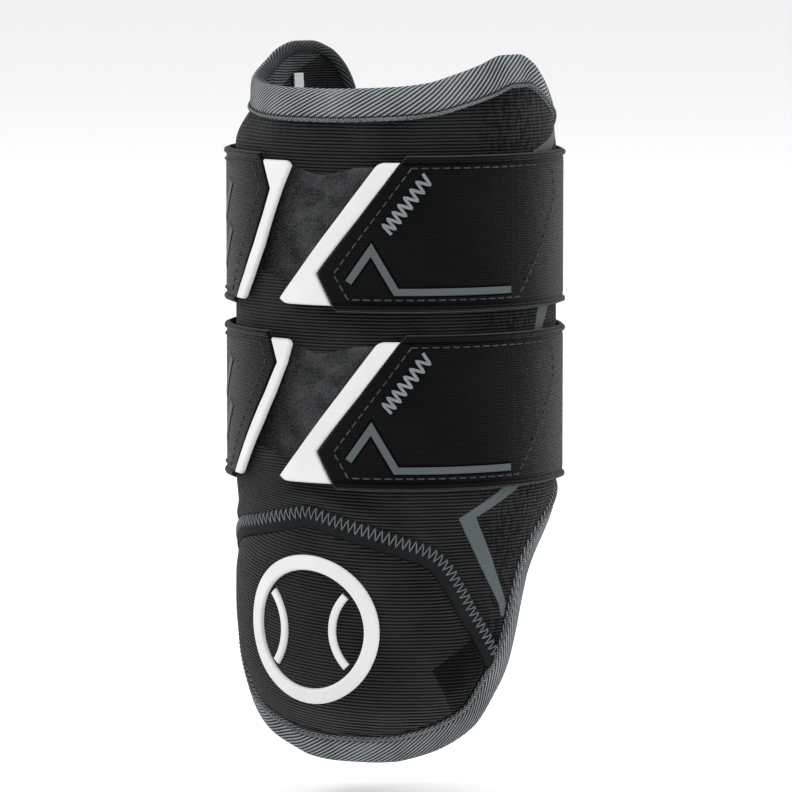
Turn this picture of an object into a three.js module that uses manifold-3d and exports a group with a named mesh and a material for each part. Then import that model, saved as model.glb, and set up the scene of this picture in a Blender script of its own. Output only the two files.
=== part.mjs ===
// A baseball elbow guard: a padded sleeve, open at the back, with a domed elbow pad at its lower front,
// a folded edge binding, and two elastic straps whose ends hook on fuzzy patches on the front.
// Millimetres, +Z up. The origin is on the axis of the arm, near the middle between the two straps.
// The front faces -Y. Angles go round the arm in radians, 0 at the front and positive over +X.
// Every piece is a box with many segments, bent over the outer face of the sleeve.
import * as THREE from "three";
import { mergeVertices } from "three/addons/utils/BufferGeometryUtils.js";
import Module from "manifold-3d";

// Sleeve
const halfWidth = 53.6;
const halfDepth = 50.9;
const rimHeight = 75.5;
const hemDrop = 144;
const leftWing = 141.5;
const rightWing = 138.5;
const wallThick = 6.5;
const edgeThick = 3.2;
const edgeFlat = 9;
const edgeTaper = 10;
const rimPinch = 5;
const rimPinchLength = 22;
const hemCurl = 2.8;
const hemCurlLength = 16;
const wingDip = 3.4;
const wingDipLength = 26;

// Gaps between neighbours, and the thickness of each layer
const clear = 0.3;
const tapeClear = 0.5;
const trimClear = 0.2;
const loopThick = 0.6;
const hookThick = 0.5;
const webThick = 1.2;
const tipThick = 1.4;
const padThick = 1.3;
const filmThick = 0.4;
const emblemThick = 1.1;
const tapeThick = 1;
const labelThick = 0.5;
const labelClear = 0.8;

// Edge binding
const rimTapeLeg = 9.5;
const hemTapeLeg = 8;
const tapeInnerLeg = 3.6;

// Straps
const strapWidth = 50.8;
const strapPitch = 58.2;
const strapsMiddle = 1.2;
const rightTabStart = 0;
const leftTabStart = 46.5;
const hookInset = 2.5;
const hookEdge = 2.6;
const hookReach = 86;
const strapSettle = 14;
const loopLeft = 62;
const loopRight = 66;

// Stripes and bars on the strap ends
const stripeWidth = 2.8;
const barWidth = 3.4;
const barLength = 17;
const barLean = 4.8;
const barBeforeTab = 6.6;

// Elbow pad and the border over it
const padLeft = 76;
const padRight = 55;
const borderWidth = 7;
const borderOverSeam = 2;
const padEdgeGap = 1.2;

// Ball emblem on the elbow pad
const emblemTurn = -11.5;
const emblemDrop = 100;
const emblemRadius = 24.5;
const emblemStroke = 5;
const ballSeamStroke = 2.6;
const ballSeamRadius = 17;
const ballSeamCentre = 26;

// Label inside the left wing
const labelTurn = -115;
const labelWidth = 5;
const labelLength = 22;
const labelBelowRim = 8.5;

// Segments round the sleeve, up it and along the other pieces
const sleeveColumns = 38;
const sleeveRows = 13;
const edgeCrowding = 0.6;
const strapColumns = 50;
const tabRowCount = 10;

// The finished rim: around is a share of the wing on that side, rise a share of rimHeight
const rimRows = [
  { around: -1, rise: 0.86 },
  { around: -0.985, rise: 0.98 },
  { around: -0.955, rise: 1.075 },
  { around: -0.915, rise: 1.135 },
  { around: -0.86, rise: 1.165 },
  { around: -0.81, rise: 1.165 },
  { around: -0.735, rise: 1.14 },
  { around: -0.655, rise: 1.09 },
  { around: -0.56, rise: 1.05 },
  { around: -0.44, rise: 1.02 },
  { around: -0.3, rise: 1.005 },
  { around: -0.05, rise: 1 },
  { around: 0.14, rise: 1.01 },
  { around: 0.235, rise: 1.025 },
  { around: 0.33, rise: 1.065 },
  { around: 0.405, rise: 1.1 },
  { around: 0.49, rise: 1.14 },
  { around: 0.555, rise: 1.14 },
  { around: 0.625, rise: 1.11 },
  { around: 0.69, rise: 1.06 },
  { around: 0.75, rise: 1.02 },
  { around: 0.82, rise: 0.98 },
  { around: 0.89, rise: 0.92 },
  { around: 0.95, rise: 0.85 },
  { around: 0.985, rise: 0.77 },
  { around: 1, rise: 0.66 },
];

// The hem, from the left wing round the elbow to the right wing: drop is a share of hemDrop and curl
// a share of hemCurl
const hemRows = [
  { around: -1, drop: 0.28, curl: 0.3 },
  { around: -0.975, drop: 0.36, curl: 0.5 },
  { around: -0.92, drop: 0.415, curl: 0.8 },
  { around: -0.84, drop: 0.447, curl: 1 },
  { around: -0.745, drop: 0.485, curl: 1 },
  { around: -0.67, drop: 0.525, curl: 1 },
  { around: -0.62, drop: 0.575, curl: 1 },
  { around: -0.585, drop: 0.64, curl: 1 },
  { around: -0.555, drop: 0.72, curl: 0.9 },
  { around: -0.52, drop: 0.79, curl: 0.6 },
  { around: -0.475, drop: 0.865, curl: 0.3 },
  { around: -0.43, drop: 0.91, curl: 0.1 },
  { around: -0.34, drop: 0.952, curl: 0 },
  { around: -0.24, drop: 0.976, curl: 0 },
  { around: -0.165, drop: 0.993, curl: 0 },
  { around: -0.055, drop: 1, curl: 0 },
  { around: 0.05, drop: 1, curl: 0 },
  { around: 0.14, drop: 0.997, curl: 0 },
  { around: 0.2, drop: 0.988, curl: 0 },
  { around: 0.285, drop: 0.968, curl: 0 },
  { around: 0.39, drop: 0.918, curl: 0.1 },
  { around: 0.45, drop: 0.84, curl: 0.3 },
  { around: 0.485, drop: 0.79, curl: 0.6 },
  { around: 0.52, drop: 0.715, curl: 0.9 },
  { around: 0.55, drop: 0.635, curl: 1 },
  { around: 0.58, drop: 0.575, curl: 1 },
  { around: 0.635, drop: 0.525, curl: 1 },
  { around: 0.715, drop: 0.485, curl: 1 },
  { around: 0.83, drop: 0.447, curl: 1 },
  { around: 0.92, drop: 0.415, curl: 0.8 },
  { around: 0.975, drop: 0.36, curl: 0.5 },
  { around: 1, drop: 0.28, curl: 0.3 },
];

// The lower front rounds in under the elbow: reach is a share of the sleeve's half width and depth
const domeRows = [
  { drop: 0.38, reach: 1 },
  { drop: 0.43, reach: 0.991 },
  { drop: 0.5, reach: 0.98 },
  { drop: 0.62, reach: 0.977 },
  { drop: 0.69, reach: 0.972 },
  { drop: 0.77, reach: 0.957 },
  { drop: 0.83, reach: 0.93 },
  { drop: 0.905, reach: 0.875 },
  { drop: 0.96, reach: 0.81 },
  { drop: 1, reach: 0.745 },
];

// The zigzag seam over the elbow pad
const seamRows = [
  { around: -0.56, drop: 0.54 },
  { around: -0.46, drop: 0.5 },
  { around: -0.365, drop: 0.472 },
  { around: -0.25, drop: 0.455 },
  { around: -0.155, drop: 0.438 },
  { around: -0.085, drop: 0.427 },
  { around: -0.02, drop: 0.441 },
  { around: 0.035, drop: 0.455 },
  { around: 0.165, drop: 0.49 },
  { around: 0.24, drop: 0.514 },
  { around: 0.28, drop: 0.542 },
  { around: 0.32, drop: 0.594 },
  { around: 0.36, drop: 0.656 },
  { around: 0.408, drop: 0.719 },
  { around: 0.44, drop: 0.765 },
];

// Strap ends, as shares of strapWidth: rise from the strap's lower edge, web where the webbing ends and
// tip where the white end piece does, both measured round the arm from the tab's start
const rightTabRows = [
  { rise: 0, web: 0, tip: -0.325 },
  { rise: 0.03, web: -0.015, tip: -0.36 },
  { rise: 0.07, web: -0.034, tip: -0.4 },
  { rise: 0.24, web: -0.116, tip: -0.274 },
  { rise: 0.6, web: 0.144, tip: -0.007 },
  { rise: 1, web: 0.433, tip: 0.29 },
];
const upperLeftTabRows = [
  { rise: 0, web: 0, tip: 0.144 },
  { rise: 0.4, web: 0.23, tip: 0.35 },
  { rise: 0.77, web: 0.443, tip: 0.539 },
  { rise: 0.92, web: 0.39, tip: 0.616 },
  { rise: 0.97, web: 0.374, tip: 0.605 },
  { rise: 1, web: 0.364, tip: 0.575 },
];
const lowerLeftTabRows = [
  { rise: 0, web: 0, tip: 0.135 },
  { rise: 0.4, web: 0.236, tip: 0.34 },
  { rise: 0.8, web: 0.475, tip: 0.57 },
  { rise: 0.92, web: 0.435, tip: 0.605 },
  { rise: 0.97, web: 0.42, tip: 0.6 },
  { rise: 1, web: 0.411, tip: 0.57 },
];

// The sewn end of a hook pad: reach is a share of hookReach
const hookRows = [
  { rise: 0.07, reach: 0.74 },
  { rise: 0.24, reach: 0.83 },
  { rise: 0.42, reach: 0.92 },
  { rise: 0.68, reach: 1 },
  { rise: 0.93, reach: 0.975 },
];

// The kinked stripe on a right strap end: along the strap from the tab's start, and rise from the strap's
// lower edge, both as shares of strapWidth
const strapStripeRows = [
  { along: 0.1, rise: 0.2 },
  { along: 0.25, rise: 0.44 },
  { along: 0.415, rise: 0.13 },
  { along: 1.28, rise: 0.13 },
];
const barRows = [
  { name: "upper", rise: 0.66 },
  { name: "lower", rise: 0.36 },
];

// A loop patch: along is a share of its reach on that side, top and bottom shares of strapWidth
const loopRows = [
  { along: -1, top: 0.92, bottom: 0.3 },
  { along: -0.45, top: 0.92, bottom: 0.22 },
  { along: -0.3, top: 0.92, bottom: 0.18 },
  { along: -0.09, top: 0.87, bottom: 0.12 },
  { along: 0.13, top: 0.92, bottom: 0.12 },
  { along: 1, top: 0.92, bottom: 0.12 },
];

// The grey film stripe on the right flank: left and right are shares of the right wing
const flankStripeRows = [
  { left: 0.5, right: 0.565, drop: 0.34 },
  { left: 0.428, right: 0.49, drop: 0.383 },
  { left: 0.316, right: 0.367, drop: 0.438 },
  { left: 0.376, right: 0.421, drop: 0.54 },
  { left: 0.443, right: 0.47, drop: 0.64 },
  { left: 0.452, right: 0.464, drop: 0.67 },
];
const middlePatchRows = [
  { left: 0.592, right: 0.66, rise: 0.07 },
  { left: 0.572, right: 0.61, rise: -0.045 },
];
const topPatchRows = [
  { left: 0.79, right: 0.8, rise: 0.85 },
  { left: 0.56, right: 0.68, rise: 0.735 },
];

// Driving values that follow from the sizes
const tabDepth = clear + loopThick + clear + hookThick + clear;
const hookDepth = clear + loopThick + clear;
const bendRadius = (halfWidth + halfDepth) / 2;
const cutMargin = 0.8;
const degree = Math.PI / 180;
const cloth = (color, roughness) =>
  new THREE.MeshStandardMaterial({ color, roughness, metalness: 0 });
const knitBlack = cloth(0x232425, 0.9);
const webBlack = cloth(0x26282a, 0.85);
const loopBlack = cloth(0x2c2f30, 1);
const tapeGrey = cloth(0x63696d, 0.85);
const filmGrey = cloth(0x5f696c, 0.6);
const rubberWhite = cloth(0xf0f0ee, 0.45);
const labelWhite = cloth(0xf2f2f0, 0.8);

const wasm = await Module();
wasm.setup();
const guard = new THREE.Group();

// The value of a table's column at a place between its rows, on a curve with no overshoot
function readTable(rows, key, column, at) {
  const last = rows.length - 1;
  const rising = rows[last][key] > rows[0][key];
  let i = 0;
  while (i < last - 1 && (rising ? at > rows[i + 1][key] : at < rows[i + 1][key])) i += 1;
  const span = rows[i + 1][key] - rows[i][key];
  const share = THREE.MathUtils.clamp((at - rows[i][key]) / span, 0, 1);
  const slope = (k) => {
    if (k < 0 || k >= last) return 0;
    return (rows[k + 1][column] - rows[k][column]) / (rows[k + 1][key] - rows[k][key]);
  };
  const tangent = (k) => {
    const before = slope(k - 1);
    const after = slope(k);
    if (k === 0) return after;
    if (k === last) return before;
    return before * after <= 0 ? 0 : (2 * before * after) / (before + after);
  };
  const s2 = share * share;
  const s3 = s2 * share;
  return (
    rows[i][column] * (2 * s3 - 3 * s2 + 1) +
    rows[i + 1][column] * (3 * s2 - 2 * s3) +
    span * (tangent(i) * (s3 - 2 * s2 + share) + tangent(i + 1) * (s3 - s2))
  );
}

// The same on straight lines, for outlines with corners
function readStraight(rows, key, column, at) {
  let i = 0;
  while (i < rows.length - 2 && at > rows[i + 1][key]) i += 1;
  const share = (at - rows[i][key]) / (rows[i + 1][key] - rows[i][key]);
  return THREE.MathUtils.lerp(rows[i][column], rows[i + 1][column], share);
}

const wingShare = (angle) => angle / degree / (angle < 0 ? leftWing : rightWing);
const rimAt = (angle) => rimHeight * readTable(rimRows, "around", "rise", wingShare(angle));
const hemAt = (angle) => -hemDrop * readTable(hemRows, "around", "drop", wingShare(angle));
const seamAt = (angle) => -hemDrop * readTable(seamRows, "around", "drop", wingShare(angle));

// A line across the unrolled sleeve, as points of length round the arm and height
function unrolledLine(line, from, to) {
  const steps = 60;
  const points = [];
  for (let i = 0; i <= steps; i += 1) {
    const angle = THREE.MathUtils.lerp(from, to, i / steps) * degree;
    points.push(new THREE.Vector2(angle * bendRadius, line(angle)));
  }
  return points;
}

const rimLine = unrolledLine(rimAt, -leftWing, rightWing);
const hemLine = unrolledLine(hemAt, -leftWing, rightWing);
const seamLine = unrolledLine(seamAt, -padLeft - borderWidth, padRight + borderWidth);

// The distance from a place on the unrolled sleeve to such a line
function distanceTo(points, angle, height) {
  const place = new THREE.Vector2(angle * bendRadius, height);
  let least = Infinity;
  for (let i = 0; i < points.length - 1; i += 1) {
    const leg = points[i + 1].clone().sub(points[i]);
    const toPlace = place.clone().sub(points[i]);
    const share = THREE.MathUtils.clamp(toPlace.dot(leg) / leg.lengthSq(), 0, 1);
    least = Math.min(least, toPlace.addScaledVector(leg, -share).length());
  }
  return least;
}

// Distances inwards from the rim, the hem and the back edge of the nearer wing
function edgeDistances(angle, height) {
  const wing = angle < 0 ? leftWing : rightWing;
  return {
    rim: distanceTo(rimLine, angle, height) * Math.sign(rimAt(angle) - height),
    hem: distanceTo(hemLine, angle, height) * Math.sign(height - hemAt(angle)),
    wing: (1 - Math.abs(wingShare(angle))) * wing * degree * bendRadius,
  };
}

function wallAt(angle, height) {
  const near = edgeDistances(angle, height);
  const inward = Math.min(near.rim, near.hem, near.wing) - edgeFlat;
  return THREE.MathUtils.lerp(edgeThick, wallThick, THREE.MathUtils.smoothstep(inward, 0, edgeTaper));
}

// The upright oval that the sleeve and the straps follow
function ovalPoint(angle, height, reach) {
  return new THREE.Vector3(
    halfWidth * reach * Math.sin(angle),
    -halfDepth * reach * Math.cos(angle),
    height,
  );
}

// How far an edge's bend goes at a distance from the edge: all the way at it, and none past the length
const bendShare = (distance, length) => THREE.MathUtils.clamp(1 - distance / length, 0, 1.2) ** 2;

// A point of the sleeve's outer face: the oval rounds in at the elbow, is pinched at the rim, curls in
// along the sides of the hem and dips under the straps at the wings
function facePoint(angle, height) {
  const near = edgeDistances(angle, height);
  const pinch = rimPinch * bendShare(near.rim, rimPinchLength);
  const curlShare = readTable(hemRows, "around", "curl", wingShare(angle));
  const curl = curlShare * hemCurl * bendShare(near.hem, hemCurlLength);
  const dip = wingDip * bendShare(near.wing, wingDipLength);
  const reach = readTable(domeRows, "drop", "reach", -height / hemDrop);
  return ovalPoint(angle, height, reach - (pinch + curl + dip) / halfWidth);
}

// The directions round the arm, up the sleeve and out of it at a point of the face
function faceFrame(angle, height) {
  const step = 0.002;
  const rise = 0.1;
  const around = facePoint(angle + step, height)
    .sub(facePoint(angle - step, height))
    .divideScalar(2 * step);
  const up = facePoint(angle, height + rise)
    .sub(facePoint(angle, height - rise))
    .divideScalar(2 * rise);
  return { around, up, out: around.clone().cross(up).normalize() };
}

// A point at a depth over the face, which is negative inside the wall
function overFace(angle, height, depth) {
  return facePoint(angle, height).addScaledVector(faceFrame(angle, height).out, depth);
}

// A point of the strap's band at a depth over the plain oval
function overOval(angle, height, depth) {
  const out = new THREE.Vector3(Math.sin(angle) / halfWidth, -Math.cos(angle) / halfDepth, 0).normalize();
  return ovalPoint(angle, height, 1).addScaledVector(out, depth);
}

// A box of columns by rows segments, bent by place(x, y, z), whose shares run from 0 to 1
function bend(columns, rows, place) {
  const box = new THREE.BoxGeometry(1, 1, 1, columns, rows, 1);
  const corners = box.getAttribute("position");
  for (let i = 0; i < corners.count; i += 1) {
    const point = place(corners.getX(i) + 0.5, corners.getY(i) + 0.5, corners.getZ(i) + 0.5);
    corners.setXYZ(i, point.x, point.y, point.z);
  }
  box.computeVertexNormals();
  return box;
}

// A solid that can be cut: only places, with corners shared
function toSolid(geometry) {
  const bare = new THREE.BufferGeometry();
  bare.setAttribute("position", geometry.getAttribute("position"));
  bare.setIndex(geometry.getIndex());
  const merged = mergeVertices(bare, 1e-4);
  return new wasm.Manifold(
    new wasm.Mesh({
      numProp: 3,
      vertProperties: new Float32Array(merged.getAttribute("position").array),
      triVerts: new Uint32Array(merged.getIndex().array),
    }),
  );
}

function toGeometry(solid) {
  const mesh = solid.getMesh();
  const geometry = new THREE.BufferGeometry();
  geometry.setAttribute("position", new THREE.BufferAttribute(mesh.vertProperties, 3));
  geometry.setIndex(new THREE.BufferAttribute(mesh.triVerts, 1));
  geometry.computeVertexNormals();
  return geometry;
}

function add(name, geometry, material) {
  const mesh = new THREE.Mesh(geometry, material);
  mesh.name = name;
  guard.add(mesh);
}

// Rows and columns lie closer together near the edges, where the face bends most
function crowded(share) {
  return THREE.MathUtils.lerp(share, (1 - Math.cos(Math.PI * share)) / 2, edgeCrowding);
}

function sleevePlace(x, y) {
  const angle = THREE.MathUtils.lerp(-leftWing, rightWing, crowded(x)) * degree;
  return { angle, height: THREE.MathUtils.lerp(hemAt(angle), rimAt(angle), crowded(y)) };
}

// How much longer a height difference is than the distance across a sloping line
function steepness(line, angle) {
  const step = 1.5 * degree;
  return Math.hypot(1, (line(angle + step) - line(angle - step)) / (2 * step * bendRadius));
}

// The padded wall, grown on every side by a margin
function sleeveWall(margin) {
  return bend(sleeveColumns, sleeveRows, (x, y, z) => {
    const { angle, height } = sleevePlace(x, y);
    const side = x === 0 ? -1 : Math.floor(x);
    const over = y === 1 ? steepness(rimAt, angle) : 0;
    const under = y === 0 ? steepness(hemAt, angle) : 0;
    const depth = z > 0.5 ? margin : -wallAt(angle, height) - margin;
    return overFace(angle + (side * margin) / bendRadius, height + (over - under) * margin, depth);
  });
}

function makeSleeve() {
  add("sleeve_shell", sleeveWall(0), knitBlack);
}

// The sleeve's edge as one loop of places: along the hem, up the right wing, back along the rim and down
// the left wing
function sleeveEdge() {
  const loop = [];
  for (let i = 0; i < sleeveColumns; i += 1) loop.push(sleevePlace(i / sleeveColumns, 0));
  for (let i = 0; i < sleeveRows; i += 1) loop.push(sleevePlace(1, i / sleeveRows));
  for (let i = sleeveColumns; i > 0; i -= 1) loop.push(sleevePlace(i / sleeveColumns, 1));
  for (let i = sleeveRows; i > 0; i -= 1) loop.push(sleevePlace(0, i / sleeveRows));
  return loop;
}

// The tape's section from its outer leg over the edge to its inner leg: leg is a share of the leg on that
// side, past how far it stands beyond the edge, and over how far out of the outer face, or out of the
// lining if inside is true
const tapeSection = [
  { leg: 1, past: 0, over: tapeClear, inside: false },
  { leg: 0.5, past: 0, over: tapeClear, inside: false },
  { leg: 0, past: 0.5 * tapeClear, over: tapeClear, inside: false },
  { leg: 0, past: tapeClear, over: -0.25 * edgeThick, inside: false },
  { leg: 0, past: tapeClear, over: -0.25 * edgeThick, inside: true },
  { leg: 0, past: 0.5 * tapeClear, over: tapeClear, inside: true },
  { leg: 1, past: 0, over: tapeClear, inside: true },
];

// The tape's outer leg is longer along the rim than along the hem
function outerLeg(height) {
  const share = THREE.MathUtils.smoothstep(height, -strapPitch / 2, strapPitch / 2);
  return THREE.MathUtils.lerp(hemTapeLeg, rimTapeLeg, share);
}

// A point of the tape at step k of the edge loop, shifted along the edge
function tapePoint(loop, k, row, layer, shift) {
  const count = loop.length;
  const here = loop[(k + count) % count];
  const before = loop[(k - 1 + count) % count];
  const after = loop[(k + 1) % count];
  const { around, up, out } = faceFrame(here.angle, here.height);
  const along = facePoint(after.angle, after.height)
    .sub(facePoint(before.angle, before.height))
    .normalize();
  const inwards = out.clone().cross(along).normalize();
  const { leg, past, over, inside } = tapeSection[row];
  const travel = leg * (inside ? tapeInnerLeg : outerLeg(here.height));
  const angle = here.angle + (travel * inwards.dot(around)) / around.lengthSq();
  const height = here.height + (travel * inwards.dot(up)) / up.lengthSq();
  const lift = over + (over > 0 ? layer * tapeThick : 0);
  const beyond = past + (past > 0 ? layer * tapeThick : 0);
  const point = overFace(angle, height, inside ? -edgeThick - lift : lift);
  return point.addScaledVector(inwards, -beyond).addScaledVector(along, shift);
}

// A length of tape between two steps of the loop, trimmed where the wall would come too near
function makeTape(name, start, end, wall) {
  const loop = sleeveEdge();
  const steps = end - start;
  const rows = tapeSection.length - 1;
  const place = (x, y, z) => {
    const k = start + Math.round(x * steps);
    const shift = (x < 0.5 / steps ? clear / 2 : 0) - (x > 1 - 0.5 / steps ? clear / 2 : 0);
    return tapePoint(loop, k, rows - Math.round(y * rows), z, shift);
  };
  const tape = toSolid(bend(steps, rows, place)).subtract(wall);
  add(name, toGeometry(tape), tapeGrey);
}

function makeBinding() {
  const hemEnd = sleeveColumns;
  const rightEnd = hemEnd + sleeveRows;
  const rimEnd = rightEnd + sleeveColumns;
  const wall = toSolid(sleeveWall(trimClear));
  makeTape("hem_binding", 0, hemEnd, wall);
  makeTape("right_wing_binding", hemEnd, rightEnd, wall);
  makeTape("rim_binding", rightEnd, rimEnd, wall);
  makeTape("left_wing_binding", rimEnd, rimEnd + sleeveRows, wall);
}

// The height at an angle where the distance to a line reaches a value, going up or down from a start
function heightAway(points, angle, start, distance, direction) {
  let near = 0;
  let far = 6 * distance;
  for (let i = 0; i < 24; i += 1) {
    const middle = (near + far) / 2;
    if (distanceTo(points, angle, start + direction * middle) < distance) near = middle;
    else far = middle;
  }
  return start + direction * near;
}

const belowSeam = (angle, distance) => heightAway(seamLine, angle, seamAt(angle), distance, -1);
const aboveHem = (angle, distance) => heightAway(hemLine, angle, hemAt(angle), distance, 1);

function makeElbowPad() {
  const padColumns = 24;
  const padRows = 6;
  const place = (x, y, z) => {
    const angle = THREE.MathUtils.lerp(-padLeft, padRight, x) * degree;
    const top = belowSeam(angle, borderWidth - borderOverSeam + clear);
    const bottom = aboveHem(angle, hemTapeLeg + padEdgeGap);
    return overFace(angle, THREE.MathUtils.lerp(bottom, top, y), clear + z * padThick);
  };
  add("elbow_pad", bend(padColumns, padRows, place), knitBlack);
}

function makeSeamBorder() {
  const borderColumns = 24;
  const place = (x, y, z) => {
    const angle = THREE.MathUtils.lerp(-padLeft, padRight, x) * degree;
    const top = heightAway(seamLine, angle, seamAt(angle), borderOverSeam, 1);
    const bottom = belowSeam(angle, borderWidth - borderOverSeam);
    return overFace(angle, THREE.MathUtils.lerp(bottom, top, y), clear + z * padThick);
  };
  add("seam_border", bend(borderColumns, 1, place), knitBlack);
}

const straps = [
  { name: "upper", bottom: strapsMiddle + strapPitch / 2 - strapWidth / 2, leftRows: upperLeftTabRows },
  { name: "lower", bottom: strapsMiddle - strapPitch / 2 - strapWidth / 2, leftRows: lowerLeftTabRows },
];

// Places along a strap are lengths round the arm from the front centre, in the bend of the strap
const strapAngle = (length) => length / bendRadius;
const acrossTab = (rows, column, rise) => strapWidth * readStraight(rows, "rise", column, rise);
const rightEdge = (column, rise) => rightTabStart + acrossTab(rightTabRows, column, rise);
const leftEdge = (rows, column, rise) => acrossTab(rows, column, rise) - leftTabStart;

// The strap lies high over the hook pads and settles on the sleeve past them
function strapDepth(length) {
  const leftPadEnd = leftTabStart - upperLeftTabRows.at(-1).web * strapWidth + hookReach + hookEdge;
  const rightPadEnd = rightTabStart + hookReach + hookEdge;
  const past = Math.min(length - rightPadEnd, 2 * Math.PI * bendRadius - leftPadEnd - length);
  return THREE.MathUtils.lerp(tabDepth, clear, THREE.MathUtils.smoothstep(past, 0, strapSettle));
}

// The webbing is a straight band round the arm, cut off at both ends along the tabs' outlines
function makeWeb(strap) {
  const turn = 2 * Math.PI * bendRadius;
  const firstWeb = Math.min(...rightTabRows.map((row) => row.web));
  const lastWeb = Math.max(...strap.leftRows.map((row) => row.web));
  const start = rightTabStart + strapWidth * firstWeb - cutMargin;
  const end = turn - leftTabStart + strapWidth * lastWeb + cutMargin;
  const band = bend(strapColumns, 1, (x, y, z) => {
    const length = THREE.MathUtils.lerp(start, end, x);
    return overOval(strapAngle(length), strap.bottom + y * strapWidth, strapDepth(length) + z * webThick);
  });
  const riseMargin = cutMargin / strapWidth;
  const cutter = (from, to) =>
    bend(4, 2 * tabRowCount, (x, y, z) => {
      const rise = THREE.MathUtils.lerp(-riseMargin, 1 + riseMargin, y);
      const length = THREE.MathUtils.lerp(from(rise), to(rise), x);
      const depth = tabDepth + THREE.MathUtils.lerp(-cutMargin, webThick + cutMargin, z);
      return overOval(strapAngle(length), strap.bottom + rise * strapWidth, depth);
    });
  const rightCut = cutter(
    () => start - cutMargin,
    (rise) => rightEdge("web", rise),
  );
  const leftCut = cutter(
    (rise) => leftEdge(strap.leftRows, "web", rise),
    () => end - turn + cutMargin,
  );
  const web = toSolid(band).subtract(toSolid(rightCut)).subtract(toSolid(leftCut));
  add(strap.name + "_strap", toGeometry(web), webBlack);
}

// The rows of a tab's table with steps between them, as shares of the strap's width
function fineRises(rows) {
  const rises = [rows[0].rise];
  for (let i = 1; i < rows.length; i += 1) {
    const steps = Math.ceil((rows[i].rise - rows[i - 1].rise) * tabRowCount);
    for (let k = 1; k <= steps; k += 1) {
      rises.push(THREE.MathUtils.lerp(rows[i - 1].rise, rows[i].rise, k / steps));
    }
  }
  return rises;
}

function makeTips(strap) {
  const tip = (name, rows, from, to) => {
    const rises = fineRises(rows);
    const place = (x, y, z) => {
      const rise = rises[Math.round(y * (rises.length - 1))];
      const length = THREE.MathUtils.lerp(from(rise), to(rise), x);
      const height = strap.bottom + rise * strapWidth;
      return overOval(strapAngle(length), height, tabDepth + z * tipThick);
    };
    add(name, bend(2, rises.length - 1, place), rubberWhite);
  };
  tip(
    strap.name + "_right_tip",
    rightTabRows,
    (rise) => rightEdge("tip", rise),
    (rise) => rightEdge("web", rise) - clear,
  );
  tip(
    strap.name + "_left_tip",
    strap.leftRows,
    (rise) => leftEdge(strap.leftRows, "web", rise) + clear,
    (rise) => leftEdge(strap.leftRows, "tip", rise),
  );
}

function makeHooks(strap) {
  const hookColumns = 12;
  const leftTop = -leftTabStart + strap.leftRows.at(-1).web * strapWidth;
  const hook = (name, start, end) => {
    const place = (x, y, z) => {
      const rise = hookRows[Math.round(y * (hookRows.length - 1))].rise;
      const length = THREE.MathUtils.lerp(start(rise), end(rise), x);
      return overOval(strapAngle(length), strap.bottom + rise * strapWidth, hookDepth + z * hookThick);
    };
    add(name, bend(hookColumns, hookRows.length - 1, place), loopBlack);
  };
  hook(
    strap.name + "_right_hook",
    (rise) => rightEdge("tip", rise) + hookInset,
    (rise) => rightTabStart + hookReach * readTable(hookRows, "rise", "reach", rise),
  );
  hook(
    strap.name + "_left_hook",
    (rise) => leftTop - hookReach * readTable(hookRows, "rise", "reach", 1 - rise),
    (rise) => leftEdge(strap.leftRows, "tip", rise) - hookInset,
  );
}

function makeLoopPatch(strap) {
  const loopColumns = 22;
  const place = (x, y, z) => {
    const length = THREE.MathUtils.lerp(-loopLeft, loopRight, x);
    const along = length / (length < 0 ? loopLeft : loopRight);
    const top = readTable(loopRows, "along", "top", along);
    const bottom = readTable(loopRows, "along", "bottom", along);
    const height = strap.bottom + strapWidth * THREE.MathUtils.lerp(bottom, top, y);
    return overOval(strapAngle(length), height, clear + z * loopThick);
  };
  add(strap.name + "_loop_patch", bend(loopColumns, 1, place), loopBlack);
}

// A band of one width along a path of flat points, laid over the face at a depth
function ribbon(points, width, steps, depth, thick, toFace) {
  const legs = points.length - 1;
  const direction = (i) => {
    const leg = THREE.MathUtils.clamp(i, 0, legs - 1);
    return points[leg + 1].clone().sub(points[leg]).normalize();
  };
  const place = (x, y, z) => {
    const along = Math.round(x * legs * steps) / steps;
    const leg = Math.min(Math.floor(along), legs - 1);
    const point = points[leg].clone().lerp(points[leg + 1], along - leg);
    const atCorner = Number.isInteger(along) && along > 0 && along < legs;
    const before = direction(atCorner ? along - 1 : leg);
    const after = direction(atCorner ? along : leg);
    const bisector = before.clone().add(after).normalize();
    const side = new THREE.Vector2(-bisector.y, bisector.x);
    const mitre = 1 / Math.max(bisector.dot(after), 0.4);
    point.addScaledVector(side, (y - 0.5) * width * mitre);
    return toFace(point, depth + z * thick);
  };
  return bend(legs * steps, 1, place);
}

// The kinked stripe on a right strap end and the two slanted bars on a left one
function makeStrapStripes(strap) {
  const depth = tabDepth + webThick + clear;
  const toFace = (point, over) => overOval(strapAngle(point.x), strap.bottom + point.y, over);
  const path = strapStripeRows.map(
    (row) => new THREE.Vector2(rightTabStart + row.along * strapWidth, row.rise * strapWidth),
  );
  add(strap.name + "_strap_stripe", ribbon(path, stripeWidth, 5, depth, filmThick, toFace), filmGrey);
  for (const row of barRows) {
    const middle = new THREE.Vector2(-leftTabStart - barBeforeTab, row.rise * strapWidth);
    const half = new THREE.Vector2(barLean, (barLength - barWidth) / 2);
    const bar = [middle.clone().sub(half), middle.clone().add(half)];
    const geometry = ribbon(bar, barWidth, 2, depth, filmThick, toFace);
    add(strap.name + "_strap_bar_" + row.name, geometry, filmGrey);
  }
}

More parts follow.
